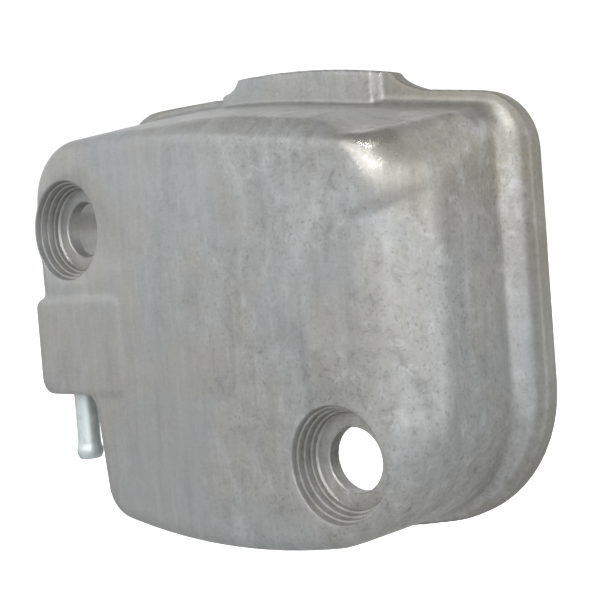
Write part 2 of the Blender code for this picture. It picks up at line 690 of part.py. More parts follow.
def build_reed(pieces, reed_material, stop_material, rivet_material):
    """Spring-steel reed over the port, the bent stop that limits its lift and the rivet that holds both.

    The reed is one strip, split where it bends: a clamped end that stays and a flap that lifts.
    """
    seat = plate_y() - PIECE_GAP
    right = reed_clamp_x() + REED_CLAMP / 2
    half = REED_WIDTH / 2
    left = hinge_x() + PIECE_GAP / 2
    low = reed_z() - half
    high = reed_z() + half
    root = [(left, low), (right, low), (right, high), (left, high)]
    rivet_hole = circle_points((reed_clamp_x(), reed_z()), RIVET_RADIUS + PIECE_GAP)
    clamped = flat_piece("reed_clamped_end", pieces, [root, rivet_hole], seat - REED_THICKNESS, seat)
    clamped.data.materials.append(reed_material)

    tip_centre = port_place()
    bend = hinge_x() - PIECE_GAP / 2
    outline = [(bend, low), (bend, high)]
    for step in range(2 * ARC_STEPS + 1):
        angle = math.radians(90 + 180 * step / (2 * ARC_STEPS))
        outline.append((tip_centre[0] + half * math.cos(angle), tip_centre[1] + half * math.sin(angle)))
    reed = flat_piece("reed_flap", pieces, [outline], seat - REED_THICKNESS, seat)
    reed.data.materials.append(reed_material)
    hinge = Vector((hinge_x(), seat - REED_THICKNESS / 2, reed_z()))
    reed.data.transform(Matrix.Translation(-hinge) @ reed.matrix_world)
    reed.matrix_world = Matrix.Translation(hinge)

    near = seat - REED_THICKNESS - PIECE_GAP
    reach = REED_LENGTH - REED_CLAMP
    drop = reach * math.tan(math.radians(REED_LIFT + STOP_MARGIN))
    side = [
        (right, near),
        (hinge_x(), near),
        (hinge_x() - reach, near - drop),
        (hinge_x() - reach, near - drop - STOP_THICKNESS),
        (hinge_x(), near - STOP_THICKNESS),
        (right, near - STOP_THICKNESS),
    ]
    stop = side_piece("reed_stop", pieces, side, low, high)
    drill = cylinder(
        "stop_hole",
        bpy.data.collections["cutters"],
        (reed_clamp_x(), reed_z()),
        RIVET_RADIUS + PIECE_GAP,
        near - STOP_THICKNESS - OVERCUT,
        near + OVERCUT,
    )
    combine(stop, drill, "DIFFERENCE")
    stop.data.materials.append(stop_material)

    under = near - STOP_THICKNESS - PIECE_GAP
    over = plate_y() + PLATE_THICKNESS + PIECE_GAP
    length = over - under
    dome = RIVET_HEAD_HEIGHT
    profile = [
        (0.0, length + dome),
        (0.6 * RIVET_HEAD_RADIUS, length + 0.8 * dome),
        (RIVET_HEAD_RADIUS, length + 0.2 * dome),
        (RIVET_HEAD_RADIUS, length),
        (RIVET_RADIUS, length),
        (RIVET_RADIUS, 0.0),
        (RIVET_HEAD_RADIUS, 0.0),
        (RIVET_HEAD_RADIUS, -0.2 * dome),
        (0.6 * RIVET_HEAD_RADIUS, -0.8 * dome),
        (0.0, -dome),
    ]
    rivet = turned("reed_rivet", pieces, profile, (reed_clamp_x(), under, reed_z()), lean=-90.0)
    rivet.data.materials.append(rivet_material)


def build_screws(pieces, material):
    """Pan-head screws of the breather plate."""
    head_seat = plate_y() + PLATE_THICKNESS + PIECE_GAP
    tip = CHAMBER_Y - SCREW_GRIP - head_seat
    for index, (x, z) in enumerate(screw_places(), start=1):
        profile = [
            (0.0, SCREW_HEAD_HEIGHT),
            (0.6 * SCREW_HEAD_RADIUS, SCREW_HEAD_HEIGHT),
            (0.9 * SCREW_HEAD_RADIUS, 0.75 * SCREW_HEAD_HEIGHT),
            (SCREW_HEAD_RADIUS, 0.4 * SCREW_HEAD_HEIGHT),
            (SCREW_HEAD_RADIUS, 0.0),
            (SCREW_RADIUS, 0.0),
            (SCREW_RADIUS, tip + 0.5 * SCREW_RADIUS),
            (0.5 * SCREW_RADIUS, tip),
            (0.0, tip),
        ]
        screw = turned(f"plate_screw_{index}", pieces, profile, (x, head_seat, z), lean=-90.0)
        screw.data.materials.append(material)


def build_pad(pieces, material):
    """Knitted steel pad between the posts of the chamber, in front of the reed."""
    low_x, low_z, high_x, high_z = CHAMBER
    left = low_x + POST_INSET + POST_RADIUS + PIECE_GAP
    right = high_x - POST_INSET / 2 - POST_RADIUS - PIECE_GAP
    bottom = low_z + POST_INSET + POST_RADIUS + PIECE_GAP
    near = CROWN_Y + WALL + PIECE_GAP
    outline = rounded_box_points(left, bottom, right, high_z - PIECE_GAP, RIB_CORNER)
    pad = flat_piece("oil_mesh_pad", pieces, [outline], near, near + PAD_THICKNESS)
    pad.data.materials.append(material)


def shade_round_pieces(pieces):
    for obj in pieces.objects:
        obj.data.shade_smooth()
        obj.data.set_sharp_from_angle(angle=math.radians(35))


def main():
    pieces, cutters = start_scene()
    aluminium = make_material("cast_aluminium", (0.56, 0.56, 0.55), 0.45, 0.9)
    zinc = make_material("zinc_plate", (0.66, 0.70, 0.74), 0.32, 1.0)
    steel = make_material("sheet_steel", (0.52, 0.52, 0.51), 0.38, 1.0)
    spring = make_material("spring_steel", (0.40, 0.41, 0.43), 0.28, 1.0)
    rubber = make_material("black_rubber", (0.02, 0.02, 0.02), 0.7, 0.0)
    fibre = make_material("gasket_fibre", (0.20, 0.23, 0.22), 0.85, 0.0)
    mesh = make_material("knitted_steel", (0.45, 0.45, 0.44), 0.5, 0.9)
    build_casting(pieces, cutters, aluminium)
    build_nipple(pieces, zinc)
    build_seal(pieces, rubber)
    build_plate(pieces, steel, fibre)
    build_reed(pieces, spring, steel, zinc)
    build_screws(pieces, zinc)
    build_pad(pieces, mesh)
    shade_round_pieces(pieces)


main()
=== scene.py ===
"""Looks of the die-cast rocker cover: its casting, breather parts, finishes, studio and camera."""

import logging
import math
from collections.abc import Iterator
from contextlib import contextmanager
from dataclasses import dataclass, field
from enum import Enum

import bpy
from mathutils import Matrix, Vector


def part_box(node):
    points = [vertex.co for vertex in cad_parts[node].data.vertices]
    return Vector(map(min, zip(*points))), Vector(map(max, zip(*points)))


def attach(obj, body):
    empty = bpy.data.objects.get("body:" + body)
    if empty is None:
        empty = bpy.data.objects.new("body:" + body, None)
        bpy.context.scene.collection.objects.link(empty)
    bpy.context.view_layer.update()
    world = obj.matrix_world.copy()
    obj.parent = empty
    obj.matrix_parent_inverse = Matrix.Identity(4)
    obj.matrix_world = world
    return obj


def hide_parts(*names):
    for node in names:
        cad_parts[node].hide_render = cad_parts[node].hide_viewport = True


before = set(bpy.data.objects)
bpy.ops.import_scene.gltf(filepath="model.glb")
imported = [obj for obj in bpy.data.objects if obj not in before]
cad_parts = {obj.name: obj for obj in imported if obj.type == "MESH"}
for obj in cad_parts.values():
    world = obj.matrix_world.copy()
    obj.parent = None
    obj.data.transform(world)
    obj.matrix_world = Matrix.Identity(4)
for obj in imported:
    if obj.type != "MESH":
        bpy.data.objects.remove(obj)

logging.basicConfig(level=logging.INFO, format="%(message)s")
LOG = logging.getLogger("rocker_cover")
MM = 0.001
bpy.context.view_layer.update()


class Slot(Enum):
    """Material slots of the record."""

    CASTING = "cast_aluminium"
    ZINC = "zinc_plate"
    SHEET = "sheet_steel"
    SPRING = "spring_steel"
    RUBBER = "black_rubber"
    FIBRE = "gasket_fibre"
    WIRE = "knitted_wire"


class Operation(Enum):
    """What a Boolean modifier does to its piece."""

    ADD = "UNION"
    CUT = "DIFFERENCE"


Pair = tuple[float, float]
Triple = tuple[float, float, float]
Colour = tuple[float, float, float]


# ---------------------------------------------------------------- mesh helpers


def only(obj: bpy.types.Object) -> None:
    """Makes an object the only selected and active one.

    Args:
        obj: The object.
    """
    bpy.ops.object.select_all(action="DESELECT")
    obj.select_set(True)
    bpy.context.view_layer.objects.active = obj


@contextmanager
def editing() -> Iterator[None]:
    """Opens the active object's mesh with all of it selected, and closes it afterwards.

    Yields:
        Nothing.
    """
    bpy.ops.object.mode_set(mode="EDIT")
    bpy.ops.mesh.select_all(action="SELECT")
    yield
    bpy.ops.object.mode_set(mode="OBJECT")


def turn_outwards() -> None:
    """Turns the open mesh's faces outwards."""
    bpy.ops.mesh.select_all(action="SELECT")
    bpy.ops.mesh.normals_make_consistent(inside=False)


def angles(sweep: float, steps: int, first: int = 0) -> list[float]:
    """Lists the angles of an arc's points.

    Args:
        sweep: The arc's angle, in degrees.
        steps: How many steps it has.
        first: The first step that is listed.

    Returns:
        The angles, in radians.
    """
    return [math.radians(sweep) * step / steps for step in range(first, steps + 1)]


def apply_place(obj: bpy.types.Object) -> bpy.types.Object:
    """Moves the object's place, turn and scale into its mesh.

    Args:
        obj: The object.

    Returns:
        The same object, now at the origin.
    """
    only(obj)
    bpy.ops.object.transform_apply(location=True, rotation=True, scale=True)
    return obj


def apply_modifiers(obj: bpy.types.Object) -> None:
    """Applies every modifier, first to last.

    Args:
        obj: The object.
    """
    only(obj)
    for modifier in list(obj.modifiers):
        bpy.ops.object.modifier_apply(modifier=modifier.name)


def boolean(target: bpy.types.Object, others: list[bpy.types.Object], operation: Operation) -> None:
    """Adds or cuts other closed pieces, which are then removed.

    Args:
        target: The piece that stays.
        others: The pieces that are used up.
        operation: Whether they are added or cut.
    """
    for other in others:
        modifier = target.modifiers.new(other.name, "BOOLEAN")
        modifier.operation = operation.value
        modifier.object = other
        modifier.solver = "MANIFOLD"
        apply_modifiers(target)
        bpy.data.objects.remove(other, do_unlink=True)


def box_piece(name: str, low: Triple, high: Triple, bevel: float = 0.0) -> bpy.types.Object:
    """Makes a box between two corners, with its edges rounded.

    Args:
        name: The object's name.
        low: Lowest corner.
        high: Highest corner.
        bevel: Radius of the edges.

    Returns:
        The box, with its place in its mesh.
    """
    bpy.ops.object.select_all(action="DESELECT")
    middle = [(a + b) / 2 for a, b in zip(low, high)]
    bpy.ops.mesh.primitive_cube_add(size=1.0, location=middle, scale=[b - a for a, b in zip(low, high)])
    obj = bpy.context.object
    obj.name = name
    apply_place(obj)
    if bevel:
        with editing():
            bpy.ops.mesh.bevel(offset=bevel, segments=6, affect="EDGES")
    return obj


def turned_piece(
    name: str, profile: list[Pair], place: Triple, turn: Triple, sides: int = 72
) -> bpy.types.Object:
    """Turns a closed profile: a ring is added, then extruded and scaled from point to point.

    Args:
        name: The object's name.
        profile: Points of radius and height. A radius of 0 at an end closes the piece there.
        place: Where the axis's zero height lies.
        turn: Euler angles of the axis, in degrees.
        sides: How many points each ring has.

    Returns:
        The piece, with its place in its mesh.
    """
    bpy.ops.object.select_all(action="DESELECT")
    closed = 0.0001 * MM
    ring_radius = max(profile[0][0], closed)
    bpy.ops.mesh.primitive_circle_add(vertices=sides, radius=ring_radius, location=(0.0, 0.0, 0.0))
    obj = bpy.context.object
    obj.name = name
    with editing():
        height = profile[0][1]
        bpy.ops.transform.translate(value=(0.0, 0.0, height))
        for radius, next_height in profile[1:]:
            radius = max(radius, closed)
            rise = (0.0, 0.0, next_height - height)
            bpy.ops.mesh.extrude_region_move(TRANSFORM_OT_translate={"value": rise})
            share = radius / ring_radius
            bpy.ops.transform.resize(value=(share, share, 1.0), center_override=(0.0, 0.0, next_height))
            ring_radius = radius
            height = next_height
        bpy.ops.mesh.select_all(action="SELECT")
        bpy.ops.mesh.remove_doubles(threshold=0.002 * MM)
        bpy.ops.mesh.normals_make_consistent(inside=False)
    obj.rotation_euler = [math.radians(angle) for angle in turn]
    obj.location = place
    return apply_place(obj)


def drum(
    name: str, middle: Pair, radius: float, near_y: float, far_y: float, bevel: float = 0.0
) -> bpy.types.Object:
    """Makes a cylinder along Y.

    Args:
        name: The object's name.
        middle: Its axis in X and Z.
        radius: Its radius.
        near_y: End towards the crown.
        far_y: End towards the head.
        bevel: Width of its bevelled rims.

    Returns:
        The cylinder.
    """
    length = far_y - near_y
    profile = [(0.0, 0.0), (radius, 0.0), (radius, length), (0.0, length)]
    if bevel:
        flat = radius - bevel
        profile[1:3] = [(flat, 0.0), (radius, bevel), (radius, length - bevel), (flat, length)]
    return turned_piece(name, profile, (middle[0], near_y, middle[1]), (-90.0, 0.0, 0.0))


def flat_piece(name: str, outline: list[Pair], near_y: float, far_y: float) -> bpy.types.Object:
    """Makes a plate along Y: a filled circle is laid on the outline, then extruded.

    Args:
        name: The object's name.
        outline: Points in X and Z, counter-clockwise.
        near_y: Face towards the crown.
        far_y: Face towards the head.

    Returns:
        The plate.
    """
    bpy.ops.object.select_all(action="DESELECT")
    bpy.ops.mesh.primitive_circle_add(vertices=len(outline), radius=1.0, fill_type="NGON")
    obj = bpy.context.object
    obj.name = name
    for vertex, (x, z) in zip(obj.data.vertices, outline):
        vertex.co = (x, near_y, z)
    with editing():
        bpy.ops.mesh.extrude_region_move(TRANSFORM_OT_translate={"value": (0.0, far_y - near_y, 0.0)})
        turn_outwards()
    return obj


def finish_piece(
    obj: bpy.types.Object, material: bpy.types.Material, slot: Slot, body: str, *nodes: str
) -> None:
    """Dresses a finished piece, sets it in for its CAD nodes and lets it ride on its body.

    Args:
        obj: The piece.
        material: Its finish.
        slot: The record's slot that the finish belongs to; not used.
        body: The CAD body that it rides on.
        nodes: The CAD nodes that it stands for.
    """
    obj.data.materials.clear()
    obj.data.materials.append(material)
    only(obj)
    bpy.ops.object.shade_smooth_by_angle(angle=math.radians(32))
    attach(obj, body)
    if nodes:
        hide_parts(*nodes)
    LOG.info("%s: %d faces", obj.name, len(obj.data.polygons))


# ---------------------------------------------------------------- outlines


@dataclass
class Corner:
    """Corner of an outline: its place, its radius and the crown's rim radius at both ends of its arc."""

    x: float
    z: float
    radius: float
    rim_start: float = 4.8 * MM
    rim_end: float = 4.8 * MM


@dataclass
class EdgePoint:
    """Point of a sampled outline, with its outward normal and the crown's rim radius."""

    place: Vector
    normal: Vector
    rim: float


@dataclass
class Outline:
    """Rounded outline whose arcs and straight runs have the same number of points on every level."""

    corners: list[Corner]
    arc_steps: int = 14
    run_steps: int = 12

    def arc(self, index: int) -> list[EdgePoint]:
        """Samples the arc of one corner.

        Args:
            index: Which corner.

        Returns:
            The arc's points, in order.
        """
        corner = self.corners[index]
        here = Vector((corner.x, corner.z))
        before = self.corners[index - 1]
        after = self.corners[(index + 1) % len(self.corners)]
        arriving = (here - Vector((before.x, before.z))).normalized()
        leaving = (Vector((after.x, after.z)) - here).normalized()
        turn = math.atan2(arriving.x * leaving.y - arriving.y * leaving.x, arriving.dot(leaving))
        side = math.copysign(1.0, turn)
        inward = Vector((-arriving.y, arriving.x)) * side
        centre = here - arriving * corner.radius * math.tan(abs(turn) / 2) + inward * corner.radius
        points = []
        for step in range(self.arc_steps + 1):
            share = step / self.arc_steps
            cosine = math.cos(turn * share)
            sine = math.sin(turn * share)
            spoke = Vector((-inward.x * cosine + inward.y * sine, -inward.x * sine - inward.y * cosine))
            rim = corner.rim_start + (corner.rim_end - corner.rim_start) * share
            points.append(EdgePoint(centre + spoke * corner.radius, spoke * side, rim))
        return points

    def points(self) -> list[EdgePoint]:
        """Samples the whole outline.

        Returns:
            The points of every arc and of the straight runs between them.
        """
        arcs = [self.arc(index) for index in range(len(self.corners))]
        found = []
        for index, arc in enumerate(arcs):
            found += arc
            start = arc[-1]
            end = arcs[(index + 1) % len(arcs)][0]
            for step in range(1, self.run_steps):
                share = step / self.run_steps
                place = start.place.lerp(end.place, share)
                found.append(EdgePoint(place, start.normal, start.rim + (end.rim - start.rim) * share))
        return found

    def places(self) -> list[Pair]:
        """Gives the points as pairs of X and Z."""
        return [(point.place.x, point.place.y) for point in self.points()]


def ease(low: float, high: float, value: float) -> float:
    """Rises smoothly from 0 at low to 1 at high.

    Args:
        low: Where it starts.
        high: Where it ends.
        value: Where it is asked.

    Returns:
        A share from 0 to 1.
    """
    share = min(max((value - low) / (high - low), 0.0), 1.0)
    return share * share * (3.0 - 2.0 * share)


# ---------------------------------------------------------------- casting


@dataclass
class BoltPlace:
    """Axis of a bolt hole in X and Z, and its stepped recess."""

    x: float
    z: float
    mouth: float = 15.0 * MM
    seat: float = 12.0 * MM
    hole: float = 8.5 * MM
    depth: float = 7.7 * MM
    web: float = 4.0 * MM
    steps: int = 4
    lip: float = 1.0 * MM

    @property
    def middle(self) -> Pair:
        """Axis in X and Z."""
        return (self.x, self.z)

    def cutter(self, name: str, crown_y: float) -> bpy.types.Object:
        """Makes the recess's cutter, whose steps have rounded edges and whose mouth flares.

        Args:
            name: The cutter's name.
            crown_y: Level of the crown.

        Returns:
            The cutter.
        """
        over = 6.0 * MM
        fall = self.depth / self.steps
        ledge = (self.mouth - self.seat) / self.steps
        edge = 0.28 * MM
        profile = [(0.0, -over), (self.mouth + self.lip, -over), (self.mouth + self.lip, -0.1 * MM)]
        profile += [(self.mouth + 0.3 * self.lip, 0.12 * MM), (self.mouth + 0.08 * self.lip, 0.4 * MM)]
        profile.append((self.mouth, 0.8 * MM))
        for step in range(1, self.steps):
            radius = self.mouth - ledge * (step - 1)
            level = fall * step
            profile.append((radius - 0.05 * MM, level - 0.02 * MM))
            profile.append((radius - ledge + edge, level))
            profile.append((radius - ledge + 0.3 * edge, level + 0.3 * edge))
            profile.append((radius - ledge, level + edge))
        last = self.mouth - ledge * (self.steps - 1)
        profile += [(last - 0.1 * MM, self.depth - 0.6 * MM), (last - 0.6 * MM, self.depth)]
        profile += [(self.hole + 0.35 * MM, self.depth), (self.hole, self.depth + 0.35 * MM)]
        profile += [(self.hole, self.depth + self.web + over), (0.0, self.depth + self.web + over)]
        return turned_piece(name, profile, (self.x, crown_y, self.z), (-90.0, 0.0, 0.0), 128)


@dataclass
class Casting:
    """Die-cast cover: domed body, flange, ledge, bolt bosses and breather block."""

    depth: float = 50.0 * MM
    flange: float = 5.0 * MM
    half_width: float = 79.4 * MM
    top: float = 129.5 * MM
    bottom: float = -8.6 * MM
    wall: float = 4.0 * MM
    left_lip: float = 5.0 * MM
    right_lip: float = 8.2 * MM
    top_lip: float = 2.8 * MM
    bottom_lip: float = 2.6 * MM
    top_fall: float = 0.165
    side_draft: float = 1.8 * MM
    top_draft: float = 9.6 * MM
    bottom_draft: float = 0.7 * MM
    notch_width: float = 20.6 * MM
    notch_height: float = 39.9 * MM
    notch_lean: float = 4.0 * MM
    side_rim: float = 17.0 * MM
    top_rim: float = 3.0 * MM
    fillet: float = 2.0 * MM
    ridge: float = 1.5 * MM
    ridge_turn: float = 30.0
    ridge_spread: float = 15.0
    pocket: float = 0.9 * MM
    side_fillet: float = 3.2 * MM
    crest: float = 2.9 * MM
    block_proud: float = 2.1 * MM
    block_length: float = 40.5 * MM
    block_height: float = 30.4 * MM
    rib: float = 3.0 * MM
    chamber_depth: float = 28.0 * MM
    seal_edge: float = 1.3 * MM
    seal_inside: float = 3.9 * MM
    ledge_length: float = 74.5 * MM
    ledge_ramp: float = 10.5 * MM
    proud_length: float = 67.0 * MM
    proud_ramp: float = 3.5 * MM
    proud: float = 3.0 * MM
    nipple_grip: float = 7.0 * MM
    post: float = 3.7 * MM
    groove_y: float = -2.2 * MM
    voxel: float = 0.62 * MM
    kept_faces: int = 84000
    lower_bolt: BoltPlace = field(default_factory=lambda: BoltPlace(43.6 * MM, 24.3 * MM))
    upper_bolt: BoltPlace = field(default_factory=lambda: BoltPlace(-56.7 * MM, 90.7 * MM))

    @property
    def crown_y(self) -> float:
        """Level of the crown."""
        return -self.depth

    @property
    def reach(self) -> float:
        """Distance from the crown to the flange."""
        return self.depth - self.flange

    @property
    def left_wall(self) -> float:
        """Left wall of the body at the crown."""
        return -(self.half_width - self.left_lip) + self.side_draft

    @property
    def right_wall(self) -> float:
        """Right wall of the body at the crown."""
        return self.half_width - self.right_lip - self.side_draft

    @property
    def block_left(self) -> float:
        """Left face of the breather block."""
        return self.left_wall - self.block_proud

    @property
    def chamber(self) -> tuple[float, float, float, float]:
        """Low X, low Z, high X and high Z of the breather chamber."""
        high_x = self.block_left + self.block_length - self.rib
        high_z = self.notch_height + self.block_height - 2 * self.rib
        return (self.block_left + self.rib, self.notch_height + self.rib, high_x, high_z)

    @property
    def chamber_y(self) -> float:
        """Open end of the breather chamber."""
        return self.crown_y + self.chamber_depth

    @property
    def nipple_axis(self) -> Pair:
        """X and Y of the nipple's axis."""
        return (self.block_left + 9.9 * MM, self.crown_y + 8.8 * MM)

    def body_outline(self, spread: float) -> Outline:
        """Gives the body's outline.

        Args:
            spread: 0 at the crown and 1 at the flange.

        Returns:
            The outline on that level.
        """
        left = self.left_wall - self.side_draft * spread
        right = self.right_wall + self.side_draft * spread
        top = self.top - self.top_lip - self.top_draft * (1 - spread)
        low = self.bottom + self.bottom_lip + self.bottom_draft * (1 - spread)
        notch = left + self.notch_width
        arch = -0.2 * self.half_width
        belly = 0.04 * self.half_width
        step_z = self.notch_height - self.side_draft * spread / 2
        side = self.side_rim
        upper_right = (20.0 - 12.0 * spread) * MM
        return Outline(
            [
                Corner(notch + self.notch_lean, low + (belly - notch) * 0.16, 11.0 * MM),
                Corner(belly, low, 215.0 * MM),
                Corner(right, low + (right - belly) * 0.195, 37.0 * MM, 4.8 * MM, side),
                Corner(right, top - (right - arch) * self.top_fall, upper_right, side, self.top_rim),
                Corner(arch, top, 300.0 * MM, self.top_rim, 4.8 * MM),
                Corner(left, top, 18.5 * MM),
                Corner(left, step_z, 6.5 * MM),
                Corner(notch, step_z, 6.0 * MM),
            ]
        )

    def flange_outline(self, inset: float = 0.0) -> Outline:
        """Gives the flange's outline.

        Args:
            inset: How far it is moved inwards.

        Returns:
            The outline.
        """
        half = self.half_width - inset
        top = self.top - inset
        low = self.bottom + inset
        arch = -0.1 * self.half_width
        belly = 0.04 * self.half_width
        notch = self.left_wall - self.side_draft + self.notch_width - self.left_lip + inset
        step_z = self.notch_height - self.left_lip + inset
        return Outline(
            [
                Corner(notch + self.notch_lean, low + (belly - notch) * 0.16, 16.0 * MM - inset),
                Corner(belly, low, 217.6 * MM - inset),
                Corner(half, low + (half - belly) * 0.195, 39.8 * MM - inset),
                Corner(half, top - (half - arch) * self.top_fall, 17.2 * MM - inset),
                Corner(arch, top, 600.0 * MM - inset),
                Corner(-half, top, 19.9 * MM - inset),
                Corner(-half, step_z, 9.3 * MM - inset),
                Corner(notch, step_z, 6.0 * MM + inset),
            ]
        )

    def crest_height(self, x: float, depth: float) -> float:
        """Tells how far the top wall stands above its plain slope: a crest along the crown's edge.

        Args:
            x: Place along the width.
            depth: Distance from the crown.

        Returns:
            The height of the crest there.
        """
        along = ease(-26 * MM, 20 * MM, x) * (1 - ease(38 * MM, 54 * MM, x))
        peak = 5.5 * MM
        return self.crest * along * ease(0.8 * MM, peak, depth) * (1 - ease(peak, self.reach, depth))

    def ridge_height(self, normal: Vector, depth: float) -> float:
        """Tells how far the ridge on the upper right corner stands out of the wall.

        Args:
            normal: Outward normal of the wall.
            depth: Distance from the crown.

        Returns:
            The height of the ridge there, which ends in a pocket short of the flange.
        """
        if normal.x <= 0.0 or normal.y <= 0.0:
            return 0.0
        turn = math.degrees(math.atan2(normal.x, normal.y))
        across = math.exp(-(((turn - self.ridge_turn) / self.ridge_spread) ** 2))
        along = ease(2 * MM, 10 * MM, depth) * (1 - ease(32 * MM, 37 * MM, depth))
        pocket = math.exp(-(((depth - 38 * MM) / (3 * MM)) ** 2))
        return across * (self.ridge * along - self.pocket * pocket)

    def flare(self, normal: Vector, depth: float) -> float:
        """Tells how far the fillet in front of the flange stands out of the wall.

        Args:
            normal: Outward normal of the wall.
            depth: Distance from the crown.

        Returns:
            The fillet's width there.
        """
        radius = self.fillet + self.side_fillet * max(normal.x, 0.0) ** 2
        into = depth - (self.reach - radius)
        if into <= 0.0:
            return 0.0
        return radius - math.sqrt(max(radius**2 - min(into, radius) ** 2, 0.0))

    def loft(self, name: str, inset: float, back_y: float) -> bpy.types.Object:
        """Lofts the body: a filled circle is laid on the crown and extruded row by row.

        Args:
            name: The piece's name.
            inset: How far the walls are moved inwards.
            back_y: Where the loft ends.

        Returns:
            The closed loft.
        """
        crown = self.body_outline(0.0).points()
        base = self.body_outline(1.0).points()
        rim_steps = 14
        wall_steps = 24
        rows = []
        for step in range(rim_steps + wall_steps + 1):
            row = []
            for near, far in zip(crown, base):
                rim = max(near.rim - inset, 1.0 * MM)
                angle = math.radians(90) * min(step / rim_steps, 1.0)
                depth = inset + rim * (1 - math.cos(angle))
                pulled = inset + rim * (1 - math.sin(angle))
                if step > rim_steps:
                    share = (step - rim_steps) / wall_steps
                    depth += (back_y - self.crown_y - depth) * share
                if not inset:
                    pulled -= self.flare(near.normal, depth)
                place = near.place.lerp(far.place, depth / self.reach) - near.normal * pulled
                if not inset:
                    place += near.normal * self.ridge_height(near.normal, depth)
                lift = max(near.normal.y, 0.0) ** 0.5 * self.crest_height(place.x, depth)
                row.append((place.x, self.crown_y + depth, place.y + lift))
            rows.append(row)
        bpy.ops.object.select_all(action="DESELECT")
        bpy.ops.mesh.primitive_circle_add(vertices=len(crown), radius=1.0, fill_type="NGON")
        obj = bpy.context.object
        obj.name = name
        with editing():
            for _ in rows[1:]:
                bpy.ops.mesh.extrude_region_move(TRANSFORM_OT_translate={"value": (0.0, 0.0, 1.0 * MM)})
        for index, place in enumerate(place for row in rows for place in row):
            obj.data.vertices[index].co = place
        with editing():
            turn_outwards()
        return obj

    def ledge_outline(self, length: float, ramp: float) -> list[Pair]:
        """Gives the raised ledge's outline: a hollow flank, an arched top and a ramp.

        Args:
            length: Its length along the flange.
            ramp: Length of the ramp at its right end.

        Returns:
            The outline in X and Z.
        """
        left = -26.5 * MM
        right = left + length
        flank = 7.0 * MM
        rise = 3.9 * MM
        high = self.top + rise
        fall = 6.6 * MM
        arch = -0.2 * self.half_width
        root = self.top - self.top_lip - self.wall / 2
        right_z = self.top - (right + 0.1 * self.half_width) * self.top_fall
        points = [(left, root), (right, root - (right - arch) * self.top_fall)]
        for angle in angles(90, 14):
            climb = (1 - math.cos(angle) + math.sin(angle)) / 2
            points.append((right - ramp * math.sin(angle), right_z + (high - fall - right_z) * climb))
        for step in range(1, 29):
            share = 1 - step / 28
            points.append((left + flank + (right - ramp - left - flank) * share, high - fall * share**2))
        for angle in angles(90, 14, 1):
            points.append((left + flank * math.cos(angle), self.top + rise * (1 - math.sin(angle))))
        return points

    def block(self, near_y: float, far_y: float) -> bpy.types.Object:
        """Makes the breather block: an outline with three corner radii, its front edge rounded.

        Args:
            near_y: Face towards the crown.
            far_y: Face towards the head.

        Returns:
            The block.
        """
        low_x = self.block_left
        low_z = self.notch_height
        high_x = low_x + self.block_length
        high_z = low_z + self.block_height
        corners = [
            (low_x, low_z, 5.0 * MM, 180.0),
            (high_x, low_z, 4.0 * MM, 270.0),
            (high_x, high_z, 4.0 * MM, 0.0),
            (low_x, high_z, 3.2 * MM, 90.0),
        ]
        outline = []
        for x, z, radius, start in corners:
            middle_x = x + radius if x == low_x else x - radius
            middle_z = z + radius if z == low_z else z - radius
            for step in range(13):
                angle = math.radians(start + 90.0 * step / 12)
                outline.append((middle_x + radius * math.cos(angle), middle_z + radius * math.sin(angle)))
        block = flat_piece("block_raw", outline, near_y, far_y)
        edge = block.modifiers.new("Front edge", "BEVEL")
        edge.width = 1.3 * MM
        edge.segments = 4
        edge.limit_method = "ANGLE"
        edge.angle_limit = math.radians(60)
        apply_modifiers(block)
        return block

    def proud_ledge(self) -> bpy.types.Object:
        """Makes the ledge's thicker part, whose right end slopes down to the flange.

        Returns:
            The thicker part.
        """
        outline = self.ledge_outline(self.proud_length, self.proud_ramp)
        proud = flat_piece("proud_raw", outline, -self.flange - self.proud, -self.proud)
        slope = box_piece("slope", (36.0 * MM, -12.0 * MM, 0.10), (60.0 * MM, -self.flange, 0.15))
        only(slope)
        lean = math.atan2(3.0, 8.0)
        pivot = (42.0 * MM, -self.flange, 0.12)
        with editing():
            bpy.ops.transform.translate(value=(-2.0 * MM, 0.0, 0.0))
            bpy.ops.transform.rotate(value=lean, orient_axis="Z", center_override=pivot)
        boolean(proud, [slope], Operation.CUT)
        return proud

    def outside(self) -> bpy.types.Object:
        """Makes the solid that the cover is hollowed from.

        Returns:
            The solid.
        """
        over = 1.5 * MM
        back_y = -self.flange / 2
        shell = self.loft("cover", 0.0, back_y)
        flange = flat_piece("flange_raw", self.flange_outline().places(), -self.flange, over)
        outline = self.ledge_outline(self.ledge_length, self.ledge_ramp)
        ledge = flat_piece("ledge_raw", outline, -self.flange, over)
        proud = self.proud_ledge()
        block = self.block(self.crown_y - 0.5 * MM, back_y)
        bolt = self.upper_bolt
        boss = drum("boss_raw", bolt.middle, bolt.mouth + 3.0 * MM, self.crown_y + 0.4 * MM, back_y, 2.2 * MM)
        boolean(shell, [flange, ledge, proud, block, boss], Operation.ADD)
        return shell

